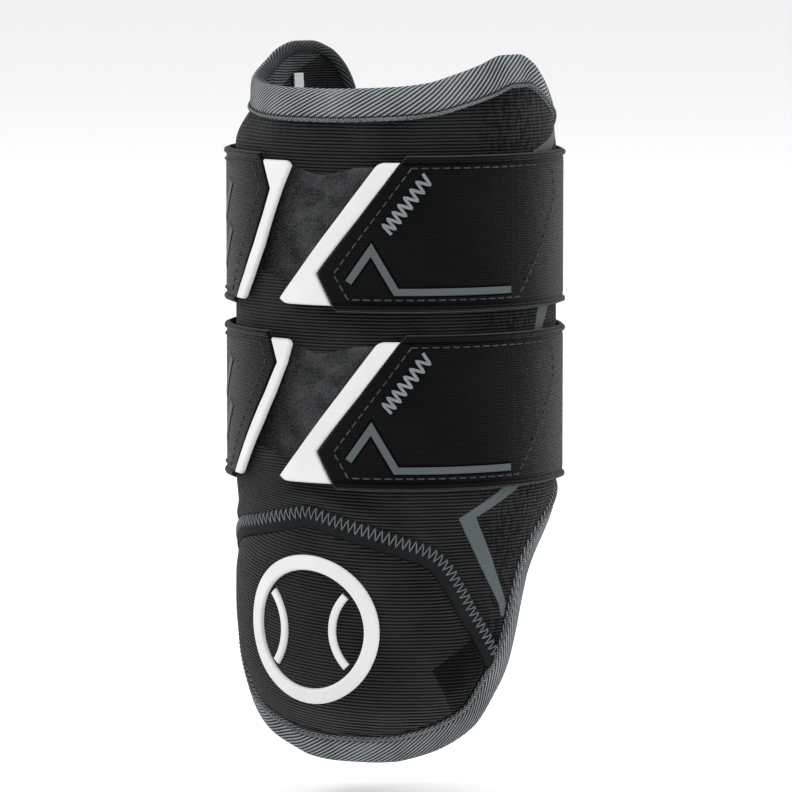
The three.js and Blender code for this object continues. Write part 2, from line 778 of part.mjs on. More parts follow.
// Grey film on the right flank, laid on the knit
function makeFlankFilm(name, rows, heightOf) {
  const steps = 3 * (rows.length - 1);
  const place = (x, y, z) => {
    const along = (1 - y) * (rows.length - 1);
    const i = Math.min(Math.floor(along), rows.length - 2);
    const between = (column) => THREE.MathUtils.lerp(column(rows[i]), column(rows[i + 1]), along - i);
    const left = between((row) => row.left);
    const right = between((row) => row.right);
    const angle = THREE.MathUtils.lerp(left, right, x) * rightWing * degree;
    return overFace(angle, between(heightOf), clear + z * filmThick);
  };
  add(name, bend(2, steps, place), filmGrey);
}

// A plain ball: a ring and two curved seams, raised on the elbow pad
function makeEmblem() {
  const depth = clear + padThick + clear;
  const toFace = (point, over) =>
    overFace(emblemTurn * degree + point.x / bendRadius, point.y - emblemDrop, over);
  const ringSteps = 40;
  const ring = new THREE.TorusGeometry(1, 0.5, 4, ringSteps);
  const corners = ring.getAttribute("position");
  const shares = ring.getAttribute("uv");
  for (let i = 0; i < corners.count; i += 1) {
    const turn = 2 * Math.PI * shares.getX(i);
    const corner = Math.round(4 * shares.getY(i)) % 4;
    const radius = emblemRadius - (corner > 1 ? emblemStroke : 0);
    const high = corner === 1 || corner === 2;
    const flat = new THREE.Vector2(radius * Math.cos(turn), radius * Math.sin(turn));
    const point = toFace(flat, depth + (high ? emblemThick : 0));
    corners.setXYZ(i, point.x, point.y, point.z);
  }
  ring.computeVertexNormals();
  add("emblem_ring", ring, rubberWhite);
  const seamSteps = 14;
  const inner = emblemRadius - emblemStroke - clear - ballSeamStroke / 2;
  const meet = (ballSeamCentre ** 2 + inner ** 2 - ballSeamRadius ** 2) / (2 * ballSeamCentre);
  const half = Math.atan2(Math.sqrt(inner ** 2 - meet ** 2), ballSeamCentre - meet);
  for (const [name, side] of [["left", -1], ["right", 1]]) {
    const points = [];
    for (let i = 0; i <= seamSteps; i += 1) {
      const turn = half * ((2 * i) / seamSteps - 1);
      const x = side * (ballSeamCentre - ballSeamRadius * Math.cos(turn));
      points.push(new THREE.Vector2(x, ballSeamRadius * Math.sin(turn)));
    }
    const geometry = ribbon(points, ballSeamStroke, 1, depth, emblemThick, toFace);
    add("emblem_seam_" + name, geometry, rubberWhite);
  }
}

// The blank label on the lining of the left wing
function makeLabel() {
  const middle = labelTurn * degree;
  const top = rimAt(middle) - labelBelowRim;
  const place = (x, y, z) => {
    const angle = middle + ((x - 0.5) * labelWidth) / bendRadius;
    const height = top - (1 - y) * labelLength;
    return overFace(angle, height, -wallAt(angle, height) - labelClear - (1 - z) * labelThick);
  };
  add("inner_label", bend(1, 4, place), labelWhite);
}

makeSleeve();
makeBinding();
makeElbowPad();
makeSeamBorder();
for (const strap of straps) {
  makeLoopPatch(strap);
  makeHooks(strap);
  makeWeb(strap);
  makeTips(strap);
  makeStrapStripes(strap);
}
makeFlankFilm("flank_stripe", flankStripeRows, (row) => -row.drop * hemDrop);
makeFlankFilm("flank_patch_middle", middlePatchRows, (row) => row.rise * rimHeight);
makeFlankFilm("flank_patch_top", topPatchRows, (row) => row.rise * rimHeight);
makeEmblem();
makeLabel();

export default guard;
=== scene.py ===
from math import cos, pi, radians, sin

import bpy
import numpy as np
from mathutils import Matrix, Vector


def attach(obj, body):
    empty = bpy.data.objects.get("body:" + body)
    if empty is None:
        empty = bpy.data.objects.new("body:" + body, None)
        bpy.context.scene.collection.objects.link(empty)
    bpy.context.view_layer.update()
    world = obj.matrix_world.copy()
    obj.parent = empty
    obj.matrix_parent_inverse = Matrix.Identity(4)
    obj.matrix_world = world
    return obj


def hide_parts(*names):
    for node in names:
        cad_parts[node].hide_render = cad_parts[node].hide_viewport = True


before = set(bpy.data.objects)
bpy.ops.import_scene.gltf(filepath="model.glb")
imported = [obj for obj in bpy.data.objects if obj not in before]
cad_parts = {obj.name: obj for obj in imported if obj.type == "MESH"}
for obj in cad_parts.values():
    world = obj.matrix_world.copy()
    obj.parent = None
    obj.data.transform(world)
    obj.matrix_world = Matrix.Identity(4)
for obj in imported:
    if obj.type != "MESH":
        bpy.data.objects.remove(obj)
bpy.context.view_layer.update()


# Camera. A long lens, a little above the guard's middle and turned to its right, as the photograph
# was taken. The picture is square.
camera_turn = radians(22)
camera_rise = radians(5.8)
camera_distance = 2.0
camera_target = Vector((0, 0, -0.0277))
camera_lens = 272.7
camera_film = 36

camera_data = bpy.data.cameras.new("camera")
camera_data.lens = camera_lens
camera_data.sensor_width = camera_film
camera = bpy.data.objects.new("camera", camera_data)
bpy.context.scene.collection.objects.link(camera)
towards_camera = Vector(
    (
        sin(camera_turn) * cos(camera_rise),
        -cos(camera_turn) * cos(camera_rise),
        sin(camera_rise),
    )
)
camera.location = camera_target + towards_camera * camera_distance
camera.rotation_euler = towards_camera.to_track_quat("Z", "Y").to_euler()
bpy.context.scene.camera = camera


# Studio. A pale sweep under and behind the guard, three large soft lamps and an even white sky. The
# guard is held up at the arm's axis, so the floor lies a little below its hem.
floor_height = -0.16
floor_reach = 40.0
sky_strength = 0.95


def shade(red, green, blue):
    """Linear colour from display levels of 0 to 255: level / 255 to the power 2.2."""
    return tuple((level / 255) ** 2.2 for level in (red, green, blue)) + (1.0,)


def link_mesh(name, points, faces):
    """A mesh object from points in metres and faces as lists of their places in that array."""
    mesh = bpy.data.meshes.new(name)
    mesh.from_pydata(points.reshape(-1, 3).tolist(), [], faces)
    mesh.validate()
    piece = bpy.data.objects.new(name, mesh)
    bpy.context.scene.collection.objects.link(piece)
    return piece


def make_floor():
    """A flat square, floor_reach to each side of the guard."""
    side = floor_reach * np.array([[-1, -1], [1, -1], [1, 1], [-1, 1]], float)
    points = np.column_stack([side, np.full(4, floor_height)])
    return link_mesh("floor", points, [[0, 1, 2, 3]])


floor = make_floor()
floor_paint = bpy.data.materials.new("floor_paint")
floor_paint.use_nodes = True
floor_shader = floor_paint.node_tree.nodes["Principled BSDF"]
floor_shader.inputs["Base Color"].default_value = shade(246, 246, 246)
floor_shader.inputs["Roughness"].default_value = 0.9
floor.data.materials.append(floor_paint)

world = bpy.data.worlds.new("studio")
world.use_nodes = True
world.node_tree.nodes["Background"].inputs["Color"].default_value = (1, 1, 1, 1)
world.node_tree.nodes["Background"].inputs["Strength"].default_value = sky_strength
bpy.context.scene.world = world
bpy.context.scene.view_settings.view_transform = "Standard"

# Each lamp's name, place, size across in metres, and power in watts
lamps = [
    ("key", (-1.9, -1.1, 2.1), 0.9, 38),
    ("side", (1.8, -0.3, 1.8), 0.8, 15),
    ("back", (0.5, 1.1, 2.2), 1.4, 24),
]
for lamp_name, place, size, power in lamps:
    lamp_data = bpy.data.lights.new(lamp_name, "AREA")
    lamp_data.size = size
    lamp_data.energy = power
    lamp = bpy.data.objects.new(lamp_name, lamp_data)
    lamp.location = place
    lamp.rotation_euler = (Vector(place) - camera_target).to_track_quat("Z", "Y").to_euler()
    bpy.context.scene.collection.objects.link(lamp)


# Sleeve. One padded wall of foam between a black ribbed knit and a grey brushed lining, cut to a C and
# held to an upright oval by the straps. All lengths below are in mm, as in the part's own drawing.
half_width = 53.6
half_depth = 50.9
bend_radius = (half_width + half_depth) / 2
rim_height = 75.5
hem_drop = 144
left_wing = radians(141.5)
right_wing = radians(138.5)
wall_thick = 6.5
edge_thick = 3.2
edge_flat = 9
edge_taper = 10
rim_pinch = 5
rim_pinch_length = 22
rim_pull = 4
fold_rise = radians(-118), radians(-82)
fold_fall = radians(22), radians(54)
pull_rise = -6, 8
pull_fall = -20, -9
hem_curl = 2.8
hem_curl_length = 16
rim_tape_leg = 9.5
wing_dip = 3.4
wing_dip_length = 26
sleeve_columns = 290
sleeve_rows = 134
above_straps = 57, 64
under_rim = 72, 90
below_straps = -62, -55
seam_fade_left = radians(-90), radians(-76)
seam_fade_right = radians(-62), radians(-54)
seam_ridge = 0.8
seam_ridge_above = 6
seam_ridge_width = 2.2
seam_valley = 0.5
seam_valley_width = 2.6
knit_fold = 0.16
calm_edge = 6, 12
pucker_depth = 0.13
pucker_past_tape = 0.5
pucker_width = 4.5
slope_start = 20
slope_rate = 0.0018
slope_full = -45
knit_pitch = 1.1
knit_figure = 0.048, 0.112
figure_edge = 0.006
figure_grain = 520.0, 300.0, 1.0
figure_runs = 0.47, 0.6
figure_sink = -0.3
figure_shade = -0.55
dark_shade = -0.85
bend_grain = 90.0
fibre_grain = 2600.0
patch_grain = 45.0
cloth_gloss = 0.05
fuzz_roughness = 0.3
knit_tones = shade(4, 4, 5), shade(60, 61, 62)
lining_tones = shade(16, 17, 18), shade(138, 142, 144)
# Painted shade on the lining: below a slanted line, starting at this height in metres and rising round
# the arm, the tone falls to a share
shade_line_start = 0.0255
shade_line_slope = 0.52
shade_line_edge = 0.0004
lining_shade_share = 0.35
dark_corner = 31, -112.5
dark_ends = (47, -101.5), (40, -128.5)
dark_top = -0.1025, -0.1018
dark_edge = 0.0003

# Folds of the knit. Columns: turn per mm round the arm, turn per mm up it, start, and share
fold_waves = [(0.11, 0.23, 0, 1), (0.17, -0.31, 1.2, 0.6), (0.29, 0.12, 0.5, 0.5)]

# Columns: share of the wing on that side, and share of rim_height
rim_rows = np.array([
    [-1, 0.86], [-0.985, 0.98], [-0.955, 1.075], [-0.915, 1.135], [-0.86, 1.165], [-0.81, 1.165],
    [-0.735, 1.14], [-0.655, 1.09], [-0.56, 1.05], [-0.44, 1.02], [-0.3, 1.005], [-0.05, 1],
    [0.14, 1.01], [0.235, 1.025], [0.33, 1.065], [0.405, 1.1], [0.49, 1.14], [0.555, 1.14],
    [0.625, 1.11], [0.69, 1.06], [0.75, 1.02], [0.82, 0.98], [0.89, 0.92], [0.95, 0.85],
    [0.985, 0.77], [1, 0.66],
])
# Columns: share of the wing, share of hem_drop, and share of hem_curl
hem_rows = np.array([
    [-1, 0.28, 0.3], [-0.975, 0.36, 0.5], [-0.92, 0.415, 0.8], [-0.84, 0.447, 1],
    [-0.745, 0.485, 1], [-0.67, 0.525, 1], [-0.62, 0.575, 1], [-0.585, 0.64, 1],
    [-0.555, 0.72, 0.9], [-0.52, 0.79, 0.6], [-0.475, 0.865, 0.3], [-0.43, 0.91, 0.1],
    [-0.34, 0.952, 0], [-0.24, 0.976, 0], [-0.165, 0.993, 0], [-0.055, 1, 0], [0.05, 1, 0],
    [0.14, 0.997, 0], [0.2, 0.988, 0], [0.285, 0.968, 0], [0.39, 0.918, 0.1], [0.45, 0.84, 0.3],
    [0.485, 0.79, 0.6], [0.52, 0.715, 0.9], [0.55, 0.635, 1], [0.58, 0.575, 1], [0.635, 0.525, 1],
    [0.715, 0.485, 1], [0.83, 0.447, 1], [0.92, 0.415, 0.8], [0.975, 0.36, 0.5], [1, 0.28, 0.3],
])
# Columns: share of hem_drop, and share of the half width and depth that the face reaches
dome_rows = np.array([
    [0.38, 1], [0.43, 0.991], [0.5, 0.98], [0.62, 0.977], [0.69, 0.972], [0.77, 0.957],
    [0.83, 0.93], [0.905, 0.875], [0.96, 0.81], [1, 0.745],
])
# Columns: share of the wing, and share of hem_drop, along the zigzag seam over the elbow pad
seam_rows = np.array([
    [-0.56, 0.54], [-0.46, 0.5], [-0.365, 0.472], [-0.25, 0.455], [-0.155, 0.438],
    [-0.085, 0.427], [-0.02, 0.441], [0.035, 0.455], [0.165, 0.49], [0.24, 0.514],
    [0.28, 0.542], [0.32, 0.594], [0.36, 0.656], [0.408, 0.719], [0.44, 0.765],
])


def read_rows(rows, at, column=1):
    """A curve with no overshoot through a table: cubic pieces, whose slope at a row is the harmonic
    mean of the slopes on its two sides, or flat where they turn."""
    keys = rows[:, 0]
    values = rows[:, column]
    slopes = np.diff(values) / np.diff(keys)
    before = slopes[:-1]
    after = slopes[1:]
    turns = before * after <= 0
    middle = 2 * before * after / np.where(turns, 1, before + after)
    tangents = np.concatenate([slopes[:1], np.where(turns, 0, middle), slopes[-1:]])
    i = np.clip(np.searchsorted(keys, at, side="right") - 1, 0, len(keys) - 2)
    span = keys[i + 1] - keys[i]
    t = np.clip((at - keys[i]) / span, 0, 1)
    start = values[i] * (2 * t**3 - 3 * t**2 + 1) + span * tangents[i] * (t**3 - 2 * t**2 + t)
    end = values[i + 1] * (3 * t**2 - 2 * t**3) + span * tangents[i + 1] * (t**3 - t**2)
    return start + end


def wing_share(angle):
    return angle / np.where(angle < 0, left_wing, right_wing)


def rim_at(angle):
    return rim_height * read_rows(rim_rows, wing_share(angle))


def hem_at(angle):
    return -hem_drop * read_rows(hem_rows, wing_share(angle))


def seam_at(angle):
    return -hem_drop * read_rows(seam_rows, wing_share(angle))


def unrolled(line, start, end, power=0.0):
    """A line over the unrolled sleeve, as points of length round the arm and height."""
    angle = start + (end - start) * crowd(241, power)
    return np.column_stack([angle * bend_radius, line(angle)])


def crowd(count, power):
    """Shares from 0 to 1 that lie closer together near both ends."""
    even = np.linspace(0, 1, count)
    return (1 - power) * even + power * (1 - np.cos(pi * even)) / 2


def line_distance(line, angle, height):
    """Least distance on the unrolled sleeve from each place to the legs of a line."""
    place = np.stack(np.broadcast_arrays(angle * bend_radius, height), -1)[..., None, :]
    leg = np.diff(line, axis=0)
    away = place - line[:-1]
    share = np.clip((away * leg).sum(-1) / (leg**2).sum(-1), 0, 1)
    return np.sqrt(((away - share[..., None] * leg) ** 2).sum(-1).min(-1))


field_step = 0.8
field_margin = 6
field_turn = 0.1
field_top = rim_rows[:, 1].max() * rim_height + field_margin
field_angles = np.arange(-left_wing - field_turn, right_wing + field_turn, field_step / bend_radius)
field_heights = np.arange(-hem_drop - field_margin, field_top, field_step)


def edge_field(line_at, side):
    """Distances from a line of the sleeve on an even grid over the unrolled face, positive on the
    side above the line if side is 1, or below it if side is -1."""
    line = unrolled(line_at, -left_wing, right_wing, 0.9)
    rows = [line_distance(line, field_angles, height) for height in field_heights]
    return np.stack(rows) * side * np.sign(field_heights[:, None] - line_at(field_angles))


rim_field = edge_field(rim_at, -1)
hem_field = edge_field(hem_at, 1)


def read_field(field, angle, height):
    """The field between its grid's points, by the share of each of the four round a place."""
    last_row, last_column = np.array(field.shape) - 1.001
    column = (angle - field_angles[0]) / (field_angles[1] - field_angles[0])
    column = np.clip(column, 0, last_column)
    row = np.clip((height - field_heights[0]) / field_step, 0, last_row)
    i, j = row.astype(int), column.astype(int)
    up, across = row - i, column - j
    low = field[i, j] * (1 - across) + field[i, j + 1] * across
    high = field[i + 1, j] * (1 - across) + field[i + 1, j + 1] * across
    return low * (1 - up) + high * up


def edge_distances(angle, height):
    """Distances inwards from the rim, the hem and the back edge of the nearer wing."""
    wing = (1 - abs(wing_share(angle))) * np.where(angle < 0, left_wing, right_wing)
    rim = read_field(rim_field, *np.broadcast_arrays(angle, height))
    hem = read_field(hem_field, *np.broadcast_arrays(angle, height))
    return rim, hem, wing * bend_radius


def smooth(value, start, end):
    """0 before start and 1 past end, with no kink: 3 t squared less 2 t cubed."""
    t = np.clip((value - start) / (end - start), 0, 1)
    return t * t * (3 - 2 * t)


def near_edge(distance, length):
    """The square of the share of a length that is left at a distance, a little over 1 past the edge."""
    return np.clip(1 - distance / length, 0, 1.2) ** 2


def bell(distance, width):
    """1 in the middle, falling to both sides: e to the power of less the square of distance / width."""
    return np.exp(-((distance / width) ** 2))


def wall_at(angle, height):
    inward = np.minimum.reduce(edge_distances(angle, height)) - edge_flat
    return edge_thick + (wall_thick - edge_thick) * smooth(inward, 0, edge_taper)


def oval_point(angle, height, reach):
    """Upright oval: half_width times the sine across, half_depth times the cosine to the front."""
    across = half_width * reach * np.sin(angle)
    forward = -half_depth * reach * np.cos(angle)
    return np.stack(np.broadcast_arrays(across, forward, height), -1)


def face_point(angle, height):
    """The sleeve's outer face: the oval rounds in at the elbow, is pinched at the rim, curls in
    along the hem and dips under the straps at the wings, each by the square of its share. The tape
    pulls the rim in once more on the left flank, where the opening folds."""
    rim, hem, wing = edge_distances(angle, height)
    pinch = rim_pinch * near_edge(rim, rim_pinch_length)
    on_fold = smooth(angle, *fold_rise) * smooth(-angle, *fold_fall)
    pinch = pinch + rim_pull * on_fold * smooth(rim, *pull_rise) * smooth(-rim, *pull_fall)
    curl_share = read_rows(hem_rows, wing_share(angle), 2)
    curl = curl_share * hem_curl * near_edge(hem, hem_curl_length)
    dip = wing_dip * near_edge(wing, wing_dip_length)
    reach = read_rows(dome_rows, -height / hem_drop)
    return oval_point(angle, height, reach - (pinch + curl + dip) / half_width)


def face_frame(angle, height):
    """Directions round the arm, up the sleeve and out of it, from small steps each way."""
    step = 0.012
    rise = 0.6
    around = (face_point(angle + step, height) - face_point(angle - step, height)) / (2 * step)
    up = (face_point(angle, height + rise) - face_point(angle, height - rise)) / (2 * rise)
    out = np.cross(around, up)
    return around, up, out / np.linalg.norm(out, axis=-1, keepdims=True)


def over_face(angle, height, depth):
    """Points at a depth over the face, negative inside the wall."""
    out = face_frame(angle, height)[2]
    return face_point(angle, height) + out * np.asarray(depth)[..., None]


def quads(grid):
    """Four-cornered faces between the neighbours in a grid of point numbers."""
    return np.stack([grid[:-1, :-1], grid[:-1, 1:], grid[1:, 1:], grid[1:, :-1]], -1).reshape(-1, 4)


def number_grid(*shape):
    """The numbers of a grid's points, with the first column again after the last."""
    grid = np.arange(np.prod(shape)).reshape(shape)
    return np.hstack([grid, grid[:, :1]])


def slab(name, top, under, cloth, ring=False):
    """A closed piece between two grids of points (rows, columns), in mm: the top grid's faces, the
    under grid's turned over, and side walls round both. cloth is the grid of places, in mm, that the
    weave follows, kept as the UV map in metres. A ring joins its last column to its first."""
    rows, columns = top.shape[:2]
    grid = number_grid(rows, columns)
    borders = [grid[0], grid[-1, ::-1]]
    if not ring:
        grid = grid[:, :-1]
        borders = [grid[0], grid[:, -1], grid[-1, ::-1], grid[::-1, 0]]
    low = rows * columns
    walls = [quads(np.stack([border + low, border])) for border in borders]
    corners = np.vstack([quads(grid), quads(grid.T + low), *walls])
    points = np.vstack([top.reshape(-1, 3), under.reshape(-1, 3)]) / 1000
    piece = link_mesh(name, points, corners.tolist())
    set_cloth(piece, np.vstack([cloth.reshape(-1, 2)] * 2) / 1000)
    return piece


def set_cloth(piece, places):
    """A place on the flat cloth for each point of the mesh, as its UV map, and smooth shading."""
    mesh = piece.data
    corner_points = np.empty(len(mesh.loops), int)
    mesh.loops.foreach_get("vertex_index", corner_points)
    layer = mesh.uv_layers.new(name="cloth")
    layer.data.foreach_set("uv", places[corner_points].astype(np.float32).ravel())
    mesh.polygons.foreach_set("use_smooth", np.ones(len(mesh.polygons), bool))


def raised(name, over, around, height, lift, low, cloth, ring=False):
    """A closed piece between two depths over what carries it. over lays places at a depth."""
    return slab(name, over(around, height, lift), over(around, height, low), cloth, ring)


def ripple(angle, height):
    """Soft slanted folds in the knit, as a sum of long sines by their shares."""
    around = angle * bend_radius
    folds = [
        share * np.sin(turn * around + climb * height + start)
        for turn, climb, start, share in fold_waves
    ]
    return sum(folds)


def sleeve_relief(angle, height):
    """How far the knit stands off the drawn face: folds beyond the straps, small puckers under the
    rim's tape, the ridge over the zigzag seam and the valley that its stitches pull in."""
    free = smooth(height, *above_straps) * (1 - smooth(height, *under_rim))
    free = free + 1 - smooth(height, *below_straps)
    over_seam = height - seam_at(angle)
    on_seam = smooth(angle, *seam_fade_left) * smooth(-angle, *seam_fade_right)
    ridge = seam_ridge * bell(over_seam - seam_ridge_above, seam_ridge_width)
    valley = seam_valley * bell(over_seam, seam_valley_width)
    past_tape = edge_distances(angle, height)[0] - rim_tape_leg
    waves = pucker_depth * np.sin(1.5 * angle * bend_radius + np.sin(0.3 * height))
    pucker = waves * bell(past_tape - pucker_past_tape, pucker_width)
    return free * (knit_fold * ripple(angle, height) + pucker) + on_seam * (ridge - valley)


def knit_slope(angle, height):
    """The rows of the knit sink to the right on the left of the elbow: a parabola in the length round
    the arm, faded in below the straps."""
    left = np.minimum(angle * bend_radius - slope_start, 0)
    return -slope_rate * left**2 * (1 - smooth(height, below_straps[0], slope_full))


def make_sleeve():
    """The wall between its outer face and its lining, from the hem to the rim."""
    angle = (-left_wing + (left_wing + right_wing) * crowd(sleeve_columns, 0.4))[None, :]
    share = crowd(sleeve_rows, 0.4)[:, None]
    height = hem_at(angle) + (rim_at(angle) - hem_at(angle)) * share
    angle = np.broadcast_to(angle, height.shape)
    near = np.minimum.reduce(edge_distances(angle, height))
    relief = sleeve_relief(angle, height) * smooth(near, *calm_edge)
    cloth = np.stack([angle * bend_radius, height + knit_slope(angle, height)], -1)
    return raised("sleeve", over_face, angle, height, relief, -wall_at(angle, height), cloth)


def node(tree, kind, *inputs, **settings):
    """A shader node: inputs are sockets to link or plain values in the node's own order, None to skip
    one, and settings are its properties. Gives its outputs."""
    made = tree.nodes.new(kind)
    for key, value in settings.items():
        setattr(made, key, value)
    feed(tree, made.inputs, inputs)
    return made.outputs


def feed(tree, sockets, values):
    """Links each socket to its value's socket, or sets it to a plain value."""
    for socket, value in zip(sockets, values):
        if isinstance(value, bpy.types.NodeSocket):
            tree.links.new(value, socket)
        elif value is not None:
            socket.default_value = value


def work_out(tree, operation, *inputs):
    return node(tree, "ShaderNodeMath", *inputs, operation=operation)[0]


def blend_tones(tree, share, low, high):
    """A colour between two, by share."""
    made = tree.nodes.new("ShaderNodeMix")
    made.data_type = "RGBA"
    feed(tree, (made.inputs[0], made.inputs[6], made.inputs[7]), (share, low, high))
    return made.outputs[2]


def new_group(name, inputs, outputs):
    """A shader group with named sockets. inputs are (name, kind, default), outputs (name, kind)."""
    group = bpy.data.node_groups.new(name, "ShaderNodeTree")
    for socket_name, kind, default in inputs:
        socket = group.interface.new_socket(socket_name, in_out="INPUT", socket_type=kind)
        if default is not None:
            socket.default_value = default
    for socket_name, kind in outputs:
        group.interface.new_socket(socket_name, in_out="OUTPUT", socket_type=kind)
    return group, group.nodes.new("NodeGroupInput").outputs, group.nodes.new("NodeGroupOutput").inputs


def held(tree, value):
    """A value held between 0 and 1."""
    return work_out(tree, "MAXIMUM", work_out(tree, "MINIMUM", value, 1.0), 0.0)


def make_rib_group():
    """Parallel ribs across a flat cloth: a sine of the place along the ribs' normal over the pitch,
    with a little wobble, its share of loose fibre, and a slow change of tone over the cloth. The tone
    follows the rib's height: painted light on the crowns and painted shade in the valleys."""
    group, given, result = new_group(
        "ribs",
        [
            ("Place", "NodeSocketVector", None),
            ("Pitch", "NodeSocketFloat", 0.001),
            ("Slant", "NodeSocketFloat", 0.0),
            ("Wobble", "NodeSocketFloat", 0.0001),
            ("Fibre", "NodeSocketFloat", 0.3),
        ],
        [("Height", "NodeSocketFloat"), ("Tone", "NodeSocketFloat")],
    )
    along, across, _ = node(group, "ShaderNodeSeparateXYZ", given["Place"])
    rise = work_out(group, "MULTIPLY", across, work_out(group, "COSINE", given["Slant"]))
    run = work_out(group, "MULTIPLY", along, work_out(group, "SINE", given["Slant"]))
    normal = work_out(group, "ADD", rise, run)
    bend = node(group, "ShaderNodeTexNoise", given["Place"], None, bend_grain, 2.0)[0]
    bent = work_out(group, "MULTIPLY_ADD", bend, given["Wobble"], normal)
    turns = work_out(group, "DIVIDE", bent, given["Pitch"])
    wave = work_out(group, "SINE", work_out(group, "MULTIPLY", turns, 2 * pi))
    rib = work_out(group, "MULTIPLY_ADD", wave, 0.5, 0.5)
    fine = node(group, "ShaderNodeTexNoise", given["Place"], None, fibre_grain, 2.0)[0]
    loose = work_out(group, "MULTIPLY", work_out(group, "SUBTRACT", fine, 0.5), given["Fibre"])
    slow = node(group, "ShaderNodeTexNoise", given["Place"], None, patch_grain, 3.0)[0]
    height = work_out(group, "ADD", rib, loose)
    group.links.new(height, result["Height"])
    patchy = work_out(group, "MULTIPLY_ADD", slow, 0.7, -0.35)
    # Painted light and shade: lighter on the rib crowns, darker in the valleys, plus a slow random
    # patchiness
    rib_crown_light_and_patches = work_out(group, "ADD", work_out(group, "MULTIPLY", height, 0.75), patchy)
    group.links.new(held(group, rib_crown_light_and_patches), result["Tone"])
    return group


rib_group = make_rib_group()


def new_cloth(name, roughness, depth, place="UV", sheen=0.0):
    """A material with its Principled shader, its place on the cloth and a bump of that depth in
    metres. Gives the material, its tree, the place, and the sockets for colour and height."""
    material = bpy.data.materials.new(name)
    material.use_nodes = True
    tree = material.node_tree
    shader = tree.nodes["Principled BSDF"]
    shader.inputs["Roughness"].default_value = roughness
    shader.inputs["Specular IOR Level"].default_value = cloth_gloss
    shader.inputs["Sheen Weight"].default_value = sheen
    shader.inputs["Sheen Roughness"].default_value = fuzz_roughness
    at = node(tree, "ShaderNodeTexCoord")[place]
    bump = tree.nodes.new("ShaderNodeBump")
    bump.inputs["Strength"].default_value = 1.0
    bump.inputs["Distance"].default_value = depth
    tree.links.new(bump.outputs[0], shader.inputs["Normal"])
    return material, tree, at, shader.inputs["Base Color"], bump.inputs["Height"]


def lay_ribs(tree, at, pitch, slant, wobble, fibre):
    """The rib group in a material, with its values in mm and degrees."""
    made = tree.nodes.new("ShaderNodeGroup")
    made.node_tree = rib_group
    tree.links.new(at, made.inputs["Place"])
    made.inputs["Pitch"].default_value = pitch / 1000
    made.inputs["Slant"].default_value = radians(slant)
    made.inputs["Wobble"].default_value = wobble / 1000
    made.inputs["Fibre"].default_value = fibre
    return made.outputs["Height"], made.outputs["Tone"]


def ribbed_cloth(name, roughness, depth, tones, *ribs):
    """A cloth whose ribs alone give its bump and its tone, with painted light on the crowns and painted
    shade between them. ribs are the values for lay_ribs.
    """
    material, tree, at, colour, height = new_cloth(name, roughness, depth)
    rib, tone = lay_ribs(tree, at, *ribs)
    tree.links.new(rib, height)
    tree.links.new(blend_tones(tree, tone, *tones), colour)
    return material


def between(tree, value, low, high, soft):
    """1 where a value lies between two, with soft ends."""
    above = node(tree, "ShaderNodeMapRange", value, low - soft, low + soft, 0.0, 1.0)[0]
    below = node(tree, "ShaderNodeMapRange", value, high - soft, high + soft, 1.0, 0.0)[0]
    return work_out(tree, "MULTIPLY", above, below)


def dark_field(tree, around, up):
    """1 right of a bent line on the pad, whose two legs meet at dark_corner, and 0 elsewhere."""
    result = node(tree, "ShaderNodeMapRange", up, *dark_top, 1.0, 0.0)[0]
    for far in dark_ends:
        slope = (far[0] - dark_corner[0]) / (far[1] - dark_corner[1])
        start = (dark_corner[0] - slope * dark_corner[1]) / 1000
        past = work_out(tree, "SUBTRACT", around, work_out(tree, "MULTIPLY_ADD", up, slope, start))
        inside = node(tree, "ShaderNodeMapRange", past, -dark_edge, dark_edge, 0.0, 1.0)[0]
        result = work_out(tree, "MULTIPLY", result, inside)
    return result


def make_knit():
    """Black ribbed knit, with broken upright runs of a second yarn on both flanks."""
    material, tree, at, colour, height = new_cloth("black_knit", 0.8, 0.0006, sheen=0.12)
    rib, tone = lay_ribs(tree, at, knit_pitch, 0, 0.35, 0.5)
    around, up, _ = node(tree, "ShaderNodeSeparateXYZ", at)
    flank = work_out(tree, "ABSOLUTE", around)
    on_flank = between(tree, flank, *knit_figure, figure_edge)
    stretched = node(tree, "ShaderNodeVectorMath", at, figure_grain, operation="MULTIPLY")[0]
    lattice = node(tree, "ShaderNodeTexNoise", stretched, None, 1.0, 0.0)[0]
    runs = node(tree, "ShaderNodeMapRange", lattice, *figure_runs, 0.0, 1.0)[0]
    figured = work_out(tree, "MULTIPLY", runs, on_flank)
    tree.links.new(work_out(tree, "MULTIPLY_ADD", figured, figure_sink, rib), height)
    shaded = work_out(tree, "MULTIPLY_ADD", figured, figure_shade, 1.0)
    sunk = work_out(tree, "MULTIPLY", tone, shaded)
    darker = work_out(tree, "MULTIPLY_ADD", dark_field(tree, around, up), dark_shade, 1.0)
    lit = work_out(tree, "MULTIPLY", sunk, darker)
    tree.links.new(blend_tones(tree, lit, *knit_tones), colour)
    return material


def make_lining():
    """Brushed grey lining, with painted shade below a slanted line that runs up to the wings, away from
    the rim.
    """
    material, tree, at, colour, height = new_cloth("grey_lining", 0.95, 0.0005)
    rib, tone = lay_ribs(tree, at, 0.9, 0, 0.5, 1.4)
    tree.links.new(rib, height)
    around, up, _ = node(tree, "ShaderNodeSeparateXYZ", at)
    out = work_out(tree, "ABSOLUTE", around)
    lining_shade_line = work_out(tree, "MULTIPLY_ADD", out, shade_line_slope, shade_line_start)
    past = work_out(tree, "SUBTRACT", up, lining_shade_line)
    # Painted shade away from the rim: the lining's tone drops below the slanted line
    lining_lit_share = node(tree, "ShaderNodeMapRange", past, -shade_line_edge, shade_line_edge, lining_shade_share, 1.0)[0]
    lit = work_out(tree, "MULTIPLY", tone, lining_lit_share)
    tree.links.new(blend_tones(tree, lit, *lining_tones), colour)
    return material


def dress(piece, cloth, slot, *nodes):
    """The piece's material, its ride on the one body, and the CAD nodes it stands for. slot is not
    used.
    """
    piece.data.materials.append(cloth)
    if nodes:
        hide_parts(*nodes)
    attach(piece, "root")


